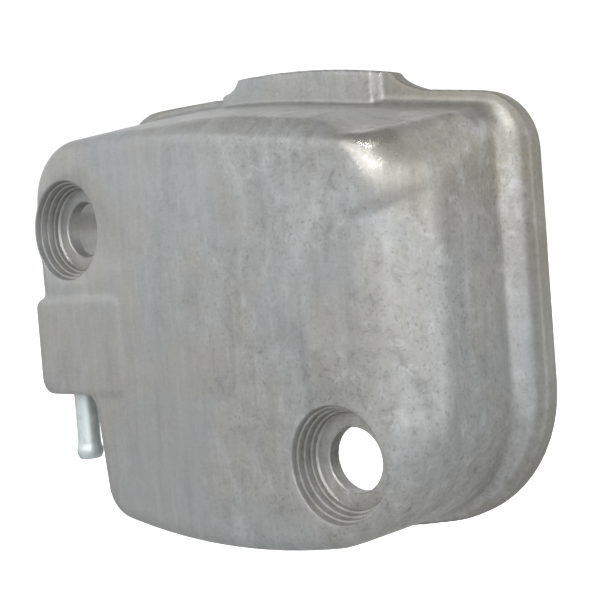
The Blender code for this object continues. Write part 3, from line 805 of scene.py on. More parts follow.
    def hollow_out(self, shell: bpy.types.Object) -> None:
        """Cuts the inside of the cover, and adds its pads, ribs and posts.

        Args:
            shell: The solid cover.
        """
        over = 4.0 * MM
        top = self.crown_y + self.wall
        bolt = self.upper_bolt
        low_x, low_z, high_x, high_z = self.chamber
        far_corner = (high_x + self.rib / 2, over, high_z + self.rib)
        hollows = [
            self.loft("hollow", self.wall, over),
            drum("boss_hollow", bolt.middle, bolt.mouth - 1.0 * MM, top, over),
            box_piece("block_hollow", (low_x, top, low_z), far_corner, 1.2 * MM),
        ]
        boolean(shell, hollows, Operation.CUT)
        pads = []
        for index, bolt in enumerate((self.lower_bolt, self.upper_bolt)):
            web_y = self.crown_y + bolt.depth + bolt.web
            pads.append(drum(f"pad_{index}", bolt.middle, bolt.mouth + 2.5 * MM, top - 0.6 * MM, web_y))
        rib_top = self.crown_y + self.wall / 2
        bite = self.rib / 3
        far_corner = (high_x + self.rib, self.chamber_y, high_z + self.rib + bite)
        rib = box_piece("rib", (low_x - bite, rib_top, low_z - bite), far_corner)
        room = box_piece("rib_room", (low_x, rib_top - over, low_z), (high_x, over, high_z), 1.5 * MM)
        boolean(rib, [room], Operation.CUT)
        pads.append(rib)
        for index, middle in enumerate(self.screw_places()):
            pads.append(drum(f"post_{index}", middle, self.post, rib_top, self.chamber_y))
        pads.append(self.nipple_drum("grip", 6.0 * MM, self.rib / 2, self.nipple_grip, 48))
        boolean(shell, pads, Operation.ADD)

    def nipple_drum(self, name: str, radius: float, low: float, high: float, sides: int) -> bpy.types.Object:
        """Makes a cylinder on the nipple's axis.

        Args:
            name: The object's name.
            radius: Its radius.
            low: Its lower end, above the notch.
            high: Its upper end, above the notch.
            sides: How many sides it has.

        Returns:
            The cylinder.
        """
        low_z = self.notch_height + low
        high_z = self.notch_height + high
        profile = [(0.0, low_z), (radius, low_z), (radius, high_z), (0.0, high_z)]
        return turned_piece(name, profile, (*self.nipple_axis, 0.0), (0.0, 0.0, 0.0), sides)

    def screw_places(self) -> list[Pair]:
        """Gives the places of the breather plate's screws.

        Returns:
            Their X and Z.
        """
        low_x, low_z, high_x, high_z = self.chamber
        inset = 3.3 * MM
        beside_nipple = self.nipple_axis[0] + 9.6 * MM
        return [
            (low_x + inset, high_z - inset),
            (high_x - inset / 2, high_z - inset),
            (high_x - inset / 2, low_z + inset),
            (beside_nipple, low_z + inset),
        ]

    def soften(self, shell: bpy.types.Object) -> None:
        """Rounds every cast edge and fillet: the cover is remeshed finely, relaxed and thinned.

        Args:
            shell: The cover.
        """
        voxel = self.voxel * 1.0
        remesh = shell.modifiers.new("Fine skin", "REMESH")
        remesh.mode = "VOXEL"
        remesh.voxel_size = voxel
        relax = shell.modifiers.new("Soft edges", "SMOOTH")
        relax.factor = 0.5
        relax.iterations = 8
        apply_modifiers(shell)
        LOG.info("fine skin: %d faces", len(shell.data.polygons))
        thin = shell.modifiers.new("Fewer flat faces", "DECIMATE")
        thin.ratio = min(1.0, self.kept_faces / len(shell.data.polygons))
        apply_modifiers(shell)

    def machine(self, shell: bpy.types.Object) -> None:
        """Cuts what is machined: gasket face, seal groove, bolt recesses, screw holes and nipple bore.

        Args:
            shell: The softened cover.
        """
        over = 4.0 * MM
        screw_depth = self.chamber_y - 9.0 * MM
        cuts = [
            box_piece("slab", (-0.12, 0.0, -0.05), (0.12, 0.03, 0.18)),
            self.lower_bolt.cutter("lower_recess", self.crown_y),
            self.upper_bolt.cutter("upper_recess", self.crown_y),
        ]
        for index, middle in enumerate(self.screw_places()):
            cuts.append(drum(f"screw_hole_{index}", middle, 1.8 * MM, screw_depth, self.chamber_y + over))
        cuts.append(self.nipple_drum("bore", 3.9 * MM, -over, self.nipple_grip + over, 64))
        outer = self.flange_outline(self.seal_edge).places()
        inner = self.flange_outline(self.seal_inside).places()
        groove = flat_piece("groove", outer, self.groove_y, over)
        core = flat_piece("core", inner, self.groove_y - over, 2 * over)
        boolean(groove, [core], Operation.CUT)
        cuts.append(groove)
        boolean(shell, cuts, Operation.CUT)

    def build(self, material: bpy.types.Material) -> bpy.types.Object:
        """Builds the whole cover.

        Args:
            material: The casting's finish.

        Returns:
            The finished cover.
        """
        shell = self.outside()
        self.hollow_out(shell)
        self.soften(shell)
        self.machine(shell)
        shell.name = "die_cast_cover"
        finish_piece(shell, material, Slot.CASTING, "cover", "cover_casting")
        return shell


# ---------------------------------------------------------------- breather and hose parts


@dataclass
class HoseNipple:
    """Zinc-plated nipple pressed into the underside of the breather block."""

    casting: Casting
    radius: float = 3.6 * MM
    bore: float = 2.4 * MM
    bead: float = 4.15 * MM
    bead_length: float = 4.6 * MM
    reach: float = 21.4 * MM

    def build(self, material: bpy.types.Material) -> None:
        """Builds and dresses the nipple.

        Args:
            material: The plating.
        """
        x, y = self.casting.nipple_axis
        top = self.casting.notch_height + self.casting.nipple_grip
        low = self.casting.notch_height - self.reach
        neck = low + self.bead_length
        profile = [
            (self.bore, top),
            (self.radius - 0.6 * MM, top),
            (self.radius, top - 0.6 * MM),
            (self.radius, neck + 0.5 * MM),
            (self.radius + 0.08 * MM, neck + 0.1 * MM),
            (self.bead - 0.2 * MM, neck - 0.9 * MM),
            (self.bead, neck - 1.4 * MM),
            (self.bead, low + 2.0 * MM),
            (self.bead - 0.15 * MM, low + 1.2 * MM),
            (self.radius - 0.15 * MM, low + 0.25 * MM),
            (self.radius - 0.4 * MM, low),
            (self.bore + 0.3 * MM, low),
            (self.bore, low + 0.3 * MM),
            (self.bore, top),
        ]
        nipple = turned_piece("breather_hose_nipple", profile, (x, y, 0.0), (0.0, 0.0, 0.0), 96)
        finish_piece(nipple, material, Slot.ZINC, "cover", "hose_nipple")


@dataclass
class Seal:
    """Rubber seal in the gasket face, with a rounded crown."""

    casting: Casting
    edge: float = 1.6 * MM
    width: float = 2.0 * MM
    depth: float = 1.9 * MM

    def build(self, material: bpy.types.Material) -> None:
        """Builds and dresses the seal: a ring of quads is laid row by row round the groove.

        Args:
            material: The rubber.
        """
        section = [(0.5 - 0.5 * math.cos(angle), -0.35 * (1 - math.sin(angle))) for angle in angles(180, 8)]
        section += [(1.0, -1.0), (0.0, -1.0)]
        rings = []
        for across, along in section:
            outline = self.casting.flange_outline(self.edge + self.width * across)
            rings.append([(x, self.depth * along, z) for x, z in outline.places()])
        count = len(rings[0])
        bpy.ops.object.select_all(action="DESELECT")
        bpy.ops.mesh.primitive_torus_add(
            major_segments=count, minor_segments=len(section), major_radius=1.0, minor_radius=0.1
        )
        seal = bpy.context.object
        seal.name = "rubber_perimeter_seal"
        for index in range(count):
            for row, ring in enumerate(rings):
                seal.data.vertices[index * len(section) + row].co = ring[index]
        only(seal)
        with editing():
            turn_outwards()
        finish_piece(seal, material, Slot.RUBBER, "cover", "perimeter_seal")


@dataclass
class PlateScrews:
    """Pan-head screws of the breather plate, with a cross recess."""

    casting: Casting
    shank: float = 1.5 * MM
    head: float = 2.8 * MM
    height: float = 2.0 * MM
    seat_y: float = -19.1 * MM

    def build(self, material: bpy.types.Material) -> None:
        """Models one screw and copies it to every place.

        Args:
            material: The plating.
        """
        tip = self.casting.chamber_y - 8.0 * MM - self.seat_y
        profile = [(0.0, tip), (0.75 * MM, tip), (self.shank, tip + 0.75 * MM)]
        pitch = 0.6 * MM
        level = tip + 1.0 * MM
        while level + pitch < -0.4 * MM:
            profile += [(self.shank, level), (self.shank - 0.22 * MM, level + pitch / 2)]
            level += pitch
        profile += [(self.shank, level), (self.shank, 0.0)]
        profile += [(self.head - 0.1 * MM, 0.0), (self.head, 0.15 * MM)]
        for angle in angles(90, 6):
            radius = self.head * (0.25 + 0.75 * math.cos(angle))
            profile.append((radius, self.height * (0.4 + 0.6 * math.sin(angle))))
        profile.append((0.0, self.height))
        for index, (x, z) in enumerate(self.casting.screw_places(), start=1):
            screw = turned_piece(f"pan_head_screw_{index}", profile, (0.0, 0.0, 0.0), (0.0, 0.0, 0.0), 40)
            arm = 1.5 * MM
            half = 0.32 * MM
            deep = self.height - 1.0 * MM
            first = box_piece("slot_a", (-arm, -half, deep), (arm, half, self.height + MM))
            second = box_piece("slot_b", (-half, -arm, deep), (half, arm, self.height + MM))
            boolean(screw, [first, second], Operation.CUT)
            slot_turn = 17 + 31 * index
            screw.rotation_euler = (math.radians(-90), math.radians(slot_turn), 0.0)
            screw.location = (x, self.seat_y, z)
            apply_place(screw)
            finish_piece(screw, material, Slot.ZINC, "cover", f"plate_screw_{index}")


@dataclass
class Rivet:
    """Rivet that clamps the reed and its stop to the plate."""

    shank: float = 1.2 * MM
    head: float = 2.4 * MM
    dome: float = 1.0 * MM

    def build(self, material: bpy.types.Material) -> None:
        """Builds the rivet inside its CAD node's box.

        Args:
            material: The plating.
        """
        low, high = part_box("reed_rivet")
        length = high.y - low.y - 2 * self.dome
        quarter = angles(90, 6)
        profile = [(self.head * math.sin(angle), -self.dome * math.cos(angle)) for angle in quarter]
        profile += [(self.shank, 0.0), (self.shank, length)]
        profile += [(self.head * math.cos(angle), length + self.dome * math.sin(angle)) for angle in quarter]
        middle = ((low.x + high.x) / 2, low.y + self.dome, (low.z + high.z) / 2)
        rivet = turned_piece("domed_rivet", profile, middle, (-90.0, 0.0, 0.0), 48)
        finish_piece(rivet, material, Slot.ZINC, "cover", "reed_rivet")


@dataclass
class OilMeshPad:
    """Pad of knitted wire in the chamber, which catches the oil: a block whose skin is rows of loops."""

    loop: float = 1.5 * MM
    row: float = 1.2 * MM
    rise: float = 0.22 * MM
    corner: float = 1.6 * MM
    voxel: float = 0.24 * MM

    def knit(self, place: Vector, normal: Vector) -> float:
        """Tells how high the loops stand at a place.

        Args:
            place: A place on the skin.
            normal: Its outward normal.

        Returns:
            The height, from 0 to the loops' rise.
        """
        along = place.x if abs(normal.x) < 0.7 else place.y
        across = place.z if abs(normal.z) < 0.7 else place.y
        turn = math.pi * along / self.loop
        slant = 0.35 * self.row * abs(math.sin(turn))
        rows = 0.5 + 0.5 * math.cos(2 * math.pi * (across + slant) / self.row)
        return self.rise * rows * (0.45 + 0.55 * abs(math.cos(turn)))

    def build(self, material: bpy.types.Material) -> None:
        """Builds and dresses the pad.

        Args:
            material: The knitted wire.
        """
        low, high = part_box("oil_mesh_pad")
        sunk = [value + self.rise for value in low]
        raised = [value - self.rise for value in high]
        pad = box_piece("knitted_oil_pad", sunk, raised, self.corner)
        fine = pad.modifiers.new("Fine skin", "REMESH")
        fine.mode = "VOXEL"
        fine.voxel_size = self.voxel
        relax = pad.modifiers.new("Slack edges", "SMOOTH")
        relax.iterations = 6
        apply_modifiers(pad)
        normals = [vertex.normal.copy() for vertex in pad.data.vertices]
        for vertex, normal in zip(pad.data.vertices, normals):
            vertex.co += normal * self.knit(vertex.co, normal)
        finish_piece(pad, material, Slot.WIRE, "cover", "oil_mesh_pad")


# ---------------------------------------------------------------- finishes


def clouded_group() -> bpy.types.NodeTree:
    """Gives the clouded pattern that the finishes share, a node group that is built once.

    Returns:
        The node group, whose Pattern is a noise and whose Mask is its part between Low and High.
    """
    name = "clouded_pattern"
    if name in bpy.data.node_groups:
        return bpy.data.node_groups[name]
    group = bpy.data.node_groups.new(name, "ShaderNodeTree")
    noise = group.nodes.new("ShaderNodeTexNoise")
    span = group.nodes.new("ShaderNodeMapRange")
    span.interpolation_type = "SMOOTHSTEP"
    given = group.nodes.new("NodeGroupInput")
    found = group.nodes.new("NodeGroupOutput")
    inputs = {
        "Place": noise.inputs["Vector"],
        "Scale": noise.inputs["Scale"],
        "Detail": noise.inputs["Detail"],
        "Layers": noise.inputs["Roughness"],
        "Warp": noise.inputs["Distortion"],
        "Low": span.inputs["From Min"],
        "High": span.inputs["From Max"],
        "Least": span.inputs["To Min"],
        "Most": span.inputs["To Max"],
    }
    for label, socket in inputs.items():
        kind = "NodeSocketVector" if label == "Place" else "NodeSocketFloat"
        group.interface.new_socket(label, in_out="INPUT", socket_type=kind)
        group.links.new(given.outputs[label], socket)
    group.links.new(noise.outputs["Fac"], span.inputs["Value"])
    for label, socket in (("Pattern", noise.outputs["Fac"]), ("Mask", span.outputs["Result"])):
        group.interface.new_socket(label, in_out="OUTPUT", socket_type="NodeSocketFloat")
        group.links.new(socket, found.inputs[label])
    return group


@dataclass(frozen=True)
class Clouds:
    """Values of one clouded pattern: the noise's, then the range that its mask is taken from."""

    scale: float
    detail: float
    layers: float
    warp: float
    low: float
    high: float
    least: float = 0.0
    most: float = 1.0


class NodeSheet:
    """Node tree, with short ways to add nodes and to link them."""

    def __init__(self, name: str) -> None:
        """Starts a material with a Principled shader.

        Args:
            name: The material's name.
        """
        self.material = bpy.data.materials.new(name)
        self.material.use_nodes = True
        self.tree = self.material.node_tree
        self.shader = self.tree.nodes["Principled BSDF"]
        self.place = self.tree.nodes.new("ShaderNodeTexCoord").outputs["Object"]

    def link(self, value: object, socket: bpy.types.NodeSocket) -> None:
        """Links a socket, or sets a plain value.

        Args:
            value: A socket, a colour or a number.
            socket: The input that it goes into.
        """
        if isinstance(value, bpy.types.NodeSocket):
            self.tree.links.new(value, socket)
        elif isinstance(value, tuple) and len(value) == 3 and socket.type == "RGBA":
            socket.default_value = (*value, 1.0)
        else:
            socket.default_value = value

    def stretched(self, scale: Triple) -> bpy.types.NodeSocket:
        """Scales the Object coordinates.

        Args:
            scale: Scale along each axis.

        Returns:
            The scaled coordinates.
        """
        node = self.tree.nodes.new("ShaderNodeMapping")
        self.link(self.place, node.inputs["Vector"])
        node.inputs["Scale"].default_value = scale
        return node.outputs["Vector"]

    def clouds(
        self, clouds: Clouds, vector: object = None
    ) -> tuple[bpy.types.NodeSocket, bpy.types.NodeSocket]:
        """Places the shared clouded pattern.

        Args:
            clouds: This finish's values.
            vector: Coordinates, or None for the plain ones.

        Returns:
            The pattern and its mask.
        """
        node = self.tree.nodes.new("ShaderNodeGroup")
        node.node_tree = clouded_group()
        self.link(self.place if vector is None else vector, node.inputs["Place"])
        for label in ("Scale", "Detail", "Layers", "Warp", "Low", "High", "Least", "Most"):
            node.inputs[label].default_value = getattr(clouds, label.lower())
        return node.outputs["Pattern"], node.outputs["Mask"]

    def noise(
        self, scale: float, detail: float, rough: float = 0.5, vector: object = None, warp: float = 0.0
    ) -> bpy.types.NodeSocket:
        """Adds a noise.

        Args:
            scale: How fine it is, in cells a metre.
            detail: How many finer layers it has.
            rough: How strong they are.
            vector: Coordinates, or None for the plain ones.
            warp: How far it is distorted.

        Returns:
            The noise's factor.
        """
        node = self.tree.nodes.new("ShaderNodeTexNoise")
        self.link(self.place if vector is None else vector, node.inputs["Vector"])
        node.inputs["Scale"].default_value = scale
        node.inputs["Detail"].default_value = detail
        node.inputs["Roughness"].default_value = rough
        node.inputs["Distortion"].default_value = warp
        return node.outputs["Fac"]

    def span(
        self, value: object, low: float, high: float, to_low: float = 0.0, to_high: float = 1.0
    ) -> bpy.types.NodeSocket:
        """Maps a value smoothly from one range to another.

        Args:
            value: What is mapped.
            low: Start of its range.
            high: End of its range.
            to_low: What low becomes.
            to_high: What high becomes.

        Returns:
            The mapped value.
        """
        node = self.tree.nodes.new("ShaderNodeMapRange")
        node.interpolation_type = "SMOOTHSTEP"
        for name, number in (("From Min", low), ("From Max", high), ("To Min", to_low), ("To Max", to_high)):
            node.inputs[name].default_value = number
        self.link(value, node.inputs["Value"])
        return node.outputs["Result"]

    def sum(self, kind: str, first: object, second: object) -> bpy.types.NodeSocket:
        """Joins two numbers.

        Args:
            kind: The Math node's operation.
            first: First number.
            second: Second number.

        Returns:
            The result.
        """
        node = self.tree.nodes.new("ShaderNodeMath")
        node.operation = kind
        self.link(first, node.inputs[0])
        self.link(second, node.inputs[1])
        return node.outputs[0]

    def mix(self, factor: object, first: object, second: object, blend: str = "MIX") -> bpy.types.NodeSocket:
        """Mixes two colours.

        Args:
            factor: Share of the second colour.
            first: First colour.
            second: Second colour.
            blend: Blend mode.

        Returns:
            The mixed colour.
        """
        node = self.tree.nodes.new("ShaderNodeMix")
        node.data_type = "RGBA"
        node.blend_type = blend
        self.link(factor, node.inputs["Factor"])
        self.link(first, node.inputs["A"])
        self.link(second, node.inputs["B"])
        return node.outputs["Result"]

    def axis(self, name: str) -> bpy.types.NodeSocket:
        """Picks one of the Object coordinates.

        Args:
            name: X, Y or Z.

        Returns:
            The coordinate.
        """
        node = self.tree.nodes.new("ShaderNodeSeparateXYZ")
        self.link(self.place, node.inputs[0])
        return node.outputs[name]

    def hollow(self, reach: float) -> bpy.types.NodeSocket:
        """Finds corners and hollows.

        Args:
            reach: How far a wall may be to count.

        Returns:
            A share that is high in them.
        """
        node = self.tree.nodes.new("ShaderNodeAmbientOcclusion")
        node.samples = 8
        node.only_local = True
        node.inputs["Distance"].default_value = reach
        return self.sum("SUBTRACT", 1.0, node.outputs["AO"])

    def bump(self, height: object, strength: float, distance: float) -> None:
        """Gives the shader a bump.

        Args:
            height: The height.
            strength: How strong it is, from 0 to 1.
            distance: How high it stands, in metres.
        """
        node = self.tree.nodes.new("ShaderNodeBump")
        node.inputs["Strength"].default_value = strength
        node.inputs["Distance"].default_value = distance
        self.link(height, node.inputs["Height"])
        self.link(node.outputs["Normal"], self.shader.inputs["Normal"])


@dataclass(frozen=True)
class RawCastAluminium:
    """Raw die-cast aluminium: even on the left, cloudy and stained on the right, with painted shade, dark
    brown, in creases and hollows.
    """

    cool: Colour = (0.412, 0.420, 0.418)
    warm: Colour = (0.432, 0.420, 0.392)
    pale: Colour = (0.585, 0.600, 0.600)
    # Dark stain colour, also used for the painted shade in creases and tight corners.
    dark: Colour = (0.220, 0.218, 0.210)
    rim: Colour = (0.270, 0.252, 0.215)
    beige: Colour = (0.385, 0.355, 0.305)
    # Dark brown painted shade, laid where walls close by shut out light: inside the cover, in the bolt holes
    # and under the flange.
    painted_shade_brown: Colour = (0.120, 0.088, 0.050)
    metallic: float = 0.74
    rim_width: float = 5.3 * MM

    def lay(self, sheet: NodeSheet, under: object, over: Colour, where: object, share: object) -> object:
        """Lays a colour over another, where a mask and a pattern both have it.

        Args:
            sheet: The material's nodes.
            under: The colour below.
            over: The colour that is laid.
            where: The mask.
            share: The pattern.

        Returns:
            The mixed colour.
        """
        return sheet.mix(sheet.sum("MULTIPLY", where, share), under, over)

    def stained(self, sheet: NodeSheet) -> object:
        """Tells where the surface is stained most: towards the right side, in ragged patches.

        Args:
            sheet: The material's nodes.

        Returns:
            The mask.
        """
        right = sheet.span(sheet.axis("X"), -0.030, 0.045, 0.30, 1.0)
        _, ragged = sheet.clouds(Clouds(26.0, 4.0, 0.6, 0.6, 0.38, 0.62, 0.45))
        return sheet.sum("MULTIPLY", right, ragged)

    def colour(self, sheet: NodeSheet, drift: object, specks: object, grain: object) -> object:
        """Layers the stains, streaks and specks, then painted shade in creases and hollows.

        Args:
            sheet: The material's nodes.
            drift: Pattern of the big pale and dark drifts.
            specks: Pattern of the small specks.
            grain: Pattern of the fine cross grain.

        Returns:
            The colour.
        """
        stained = self.stained(sheet)
        clouds, warmer = sheet.clouds(Clouds(30.0, 5.0, 0.6, 0.7, 0.40, 0.64))
        colour = sheet.mix(warmer, self.cool, self.warm)
        upper_right = sheet.sum("ADD", sheet.axis("X"), sheet.sum("MULTIPLY", sheet.axis("Z"), 0.8))
        upper_right = sheet.sum("ADD", upper_right, sheet.sum("MULTIPLY", clouds, 0.03))
        colour = sheet.mix(sheet.span(upper_right, 0.136, 0.160, 0.0, 0.85), colour, self.beige)
        colour = self.lay(sheet, colour, self.pale, stained, sheet.span(drift, 0.50, 0.72, 0.0, 0.75))
        colour = self.lay(sheet, colour, self.dark, stained, sheet.span(drift, 0.48, 0.28, 0.0, 0.50))
        mottle = sheet.noise(210.0, 7.0, 0.72, None, 0.5)
        colour = self.lay(sheet, colour, self.pale, stained, sheet.span(mottle, 0.50, 0.70, 0.0, 0.70))
        colour = self.lay(sheet, colour, self.dark, stained, sheet.span(mottle, 0.49, 0.30, 0.0, 0.62))
        streaks = sheet.noise(300.0, 5.0, 0.62, sheet.stretched((1.0, 1.0, 0.10)), 0.3)
        colour = sheet.mix(sheet.span(streaks, 0.50, 0.72, 0.0, 0.26), colour, self.pale)
        colour = sheet.mix(sheet.span(streaks, 0.48, 0.28, 0.0, 0.24), colour, self.dark)
        speckle = sheet.sum("MULTIPLY", stained, sheet.span(specks, 0.54, 0.74))
        colour = sheet.mix(sheet.sum("MULTIPLY", speckle, 0.60), colour, self.dark)
        colour = sheet.mix(sheet.span(grain, 0.35, 0.65, 0.0, 0.10), colour, self.pale)
        trimmed = sheet.span(sheet.axis("Y"), -self.rim_width, -self.rim_width + 0.5 * MM, 0.0, 0.62)
        colour = self.lay(sheet, colour, self.rim, trimmed, sheet.span(clouds, 0.25, 0.55, 0.6, 1.0))
        # Painted shade: creases and tight corners, found by a 4 mm occlusion, are darkened towards the dark
        # colour.
        colour = sheet.mix(sheet.span(sheet.hollow(4.0 * MM), 0.10, 0.80, 0.0, 0.60), colour, self.dark)
        # Painted shade: wherever a 24 mm occlusion finds walls close by, the colour is darkened towards a
        # dark brown, up to 85 per cent.
        return sheet.mix(sheet.span(sheet.hollow(24.0 * MM), 0.32, 0.92, 0.0, 0.85), colour, self.painted_shade_brown)

    def material(self) -> bpy.types.Material:
        """Builds the finish.

        Returns:
            The material.
        """
        sheet = NodeSheet("raw_cast_aluminium")
        drift = sheet.noise(62.0, 7.0, 0.64, sheet.stretched((1.0, 1.0, 0.50)), 1.0)
        specks = sheet.noise(1150.0, 2.0, 0.55, sheet.stretched((1.0, 1.0, 0.85)))
        grain = sheet.noise(1500.0, 3.0, 0.6, sheet.stretched((0.25, 1.0, 1.0)))
        sheet.link(self.colour(sheet, drift, specks, grain), sheet.shader.inputs["Base Color"])
        sheet.shader.inputs["Metallic"].default_value = self.metallic
        rough = sheet.span(drift, 0.30, 0.74, 0.44, 0.34)
        rubbed = sheet.span(sheet.axis("X"), 0.048, 0.058)
        rubbed = sheet.sum("MULTIPLY", rubbed, sheet.span(sheet.axis("Z"), 0.088, 0.098))
        rubbed = sheet.sum("MULTIPLY", rubbed, sheet.span(sheet.axis("Y"), -0.036, -0.044))
        rough = sheet.sum("SUBTRACT", rough, sheet.sum("MULTIPLY", rubbed, 0.14))
        rough = sheet.sum("ADD", rough, sheet.span(specks, 0.35, 0.65, -0.03, 0.05))
        trimmed = sheet.span(sheet.axis("Y"), -self.rim_width, -self.rim_width + 0.5 * MM, 0.0, 0.2)
        rough = sheet.sum("ADD", rough, trimmed)
        sheet.link(rough, sheet.shader.inputs["Roughness"])
        waves = sheet.noise(70.0, 3.0, 0.45)
        dents = sheet.noise(330.0, 3.0, 0.5)
        height = sheet.sum("ADD", sheet.sum("MULTIPLY", waves, 1.6), sheet.sum("MULTIPLY", dents, 0.22))
        height = sheet.sum("ADD", height, sheet.sum("MULTIPLY", specks, 0.10))
        height = sheet.sum("ADD", height, sheet.sum("MULTIPLY", grain, 0.07))
        sheet.bump(height, 0.5, 0.16 * MM)
        return sheet.material


@dataclass(frozen=True)
class ZincPlating:
    """Bright zinc: a bluish white metal with a faint cloud and fine turning marks."""

    light: Colour = (0.70, 0.765, 0.755)
    cloud: Colour = (0.58, 0.64, 0.635)
    metallic: float = 0.60

    def material(self) -> bpy.types.Material:
        """Builds the finish.

        Returns:
            The material.
        """
        sheet = NodeSheet("bright_zinc")
        _, cloudy = sheet.clouds(Clouds(240.0, 4.0, 0.55, 0.5, 0.42, 0.66))
        sheet.link(sheet.mix(cloudy, self.light, self.cloud), sheet.shader.inputs["Base Color"])
        sheet.shader.inputs["Metallic"].default_value = self.metallic
        marks = sheet.noise(900.0, 3.0, 0.6, sheet.stretched((0.2, 0.2, 1.6)))
        sheet.link(sheet.span(marks, 0.3, 0.7, 0.34, 0.46), sheet.shader.inputs["Roughness"])
        sheet.bump(marks, 0.3, 0.03 * MM)
        return sheet.material


@dataclass(frozen=True)
class RolledSteel:
    """Rolled steel sheet with straight rolling marks, plain or polished like a spring."""

    name: str
    light: Colour
    dark: Colour
    low_rough: float
    high_rough: float

    def material(self) -> bpy.types.Material:
        """Builds the finish.

        Returns:
            The material.
        """
        sheet = NodeSheet(self.name)
        rolling = sheet.noise(700.0, 4.0, 0.6, sheet.stretched((0.06, 1.0, 1.0)))
        stains, stained = sheet.clouds(Clouds(130.0, 4.0, 0.6, 0.8, 0.52, 0.72, 0.0, 0.45))
        colour = sheet.mix(sheet.span(rolling, 0.35, 0.65), self.light, self.dark)
        colour = sheet.mix(stained, colour, self.dark)
        sheet.link(colour, sheet.shader.inputs["Base Color"])
        sheet.shader.inputs["Metallic"].default_value = 1.0
        rough = sheet.span(stains, 0.3, 0.7, self.low_rough, self.high_rough)
        sheet.link(rough, sheet.shader.inputs["Roughness"])
        sheet.bump(rolling, 0.35, 0.03 * MM)
        return sheet.material


@dataclass(frozen=True)
class MouldedRubber:
    """Matt black rubber with a dusty bloom."""

    black: Colour = (0.018, 0.018, 0.019)
    bloom: Colour = (0.060, 0.058, 0.055)

    def material(self) -> bpy.types.Material:
        """Builds the finish.

        Returns:
            The material.
        """
        sheet = NodeSheet("moulded_rubber")
        dust, dusty = sheet.clouds(Clouds(320.0, 5.0, 0.6, 0.0, 0.48, 0.72))
        sheet.link(sheet.mix(dusty, self.black, self.bloom), sheet.shader.inputs["Base Color"])
        sheet.link(sheet.span(dust, 0.3, 0.7, 0.50, 0.72), sheet.shader.inputs["Roughness"])
        sheet.bump(dust, 0.3, 0.05 * MM)
        return sheet.material


@dataclass(frozen=True)
class FibreSheet:
    """Compressed gasket fibre with short pale threads in it."""

    ground: Colour = (0.115, 0.135, 0.130)
    thread: Colour = (0.26, 0.28, 0.26)
    rough: float = 0.88

    def material(self) -> bpy.types.Material:
        """Builds the finish.

        Returns:
            The material.
        """
        sheet = NodeSheet("gasket_fibre")
        along = sheet.stretched((0.5, 1.0, 1.0))
        threads, threaded = sheet.clouds(Clouds(1400.0, 5.0, 0.7, 1.5, 0.50, 0.66), along)
        sheet.link(sheet.mix(threaded, self.ground, self.thread), sheet.shader.inputs["Base Color"])
        sheet.shader.inputs["Roughness"].default_value = self.rough
        sheet.bump(threads, 0.5, 0.06 * MM)
        return sheet.material


@dataclass(frozen=True)
class KnittedWire:
    """Pad of knitted stainless wire: bright crossing loops, with the gaps between them painted dark as shade.
    """

    wire: Colour = (0.55, 0.55, 0.54)
    # Near-black painted shade for the gaps between the loops.
    painted_gap_shade: Colour = (0.045, 0.043, 0.040)
    bands: float = 260.0
    rough: float = 0.36

    def material(self) -> bpy.types.Material:
        """Builds the finish.

        Returns:
            The material.
        """
        sheet = NodeSheet("knitted_wire")
        loops = []
        for scale in ((1.0, 1.0, 1.0), (1.0, -1.0, 0.8)):
            wave = sheet.tree.nodes.new("ShaderNodeTexWave")
            wave.bands_direction = "DIAGONAL"
            wave.inputs["Scale"].default_value = self.bands
            wave.inputs["Distortion"].default_value = 5.0
            wave.inputs["Detail"].default_value = 2.0
            wave.inputs["Detail Scale"].default_value = 1.5
            sheet.link(sheet.stretched(scale), wave.inputs["Vector"])
            loops.append(sheet.span(wave.outputs["Fac"], 0.55, 0.95))
        wires = sheet.sum("MAXIMUM", loops[0], loops[1])
        # Painted shade: between the loops the pad is painted near black and non-metallic.
        sheet.link(sheet.mix(wires, self.painted_gap_shade, self.wire), sheet.shader.inputs["Base Color"])
        sheet.link(wires, sheet.shader.inputs["Metallic"])
        sheet.shader.inputs["Roughness"].default_value = self.rough
        sheet.bump(wires, 1.0, 0.35 * MM)
        return sheet.material


# ---------------------------------------------------------------- studio


@dataclass(frozen=True)
class Lamp:
    """Soft square light: its place, its side, its power in watts and its colour."""

    name: str
    place: Triple
    size: float
    power: float
    colour: Colour = (1.0, 1.0, 1.0)

    def add(self, target: Triple) -> None:
        """Adds the light.

        Args:
            target: Where it points.
        """
        data = bpy.data.lights.new(self.name, "AREA")
        data.size = self.size
        data.energy = self.power
        data.color = self.colour
        lamp = bpy.data.objects.new(self.name, data)
        bpy.context.scene.collection.objects.link(lamp)
        lamp.location = self.place
        lamp.rotation_euler = (Vector(target) - Vector(self.place)).to_track_quat("-Z", "Y").to_euler()


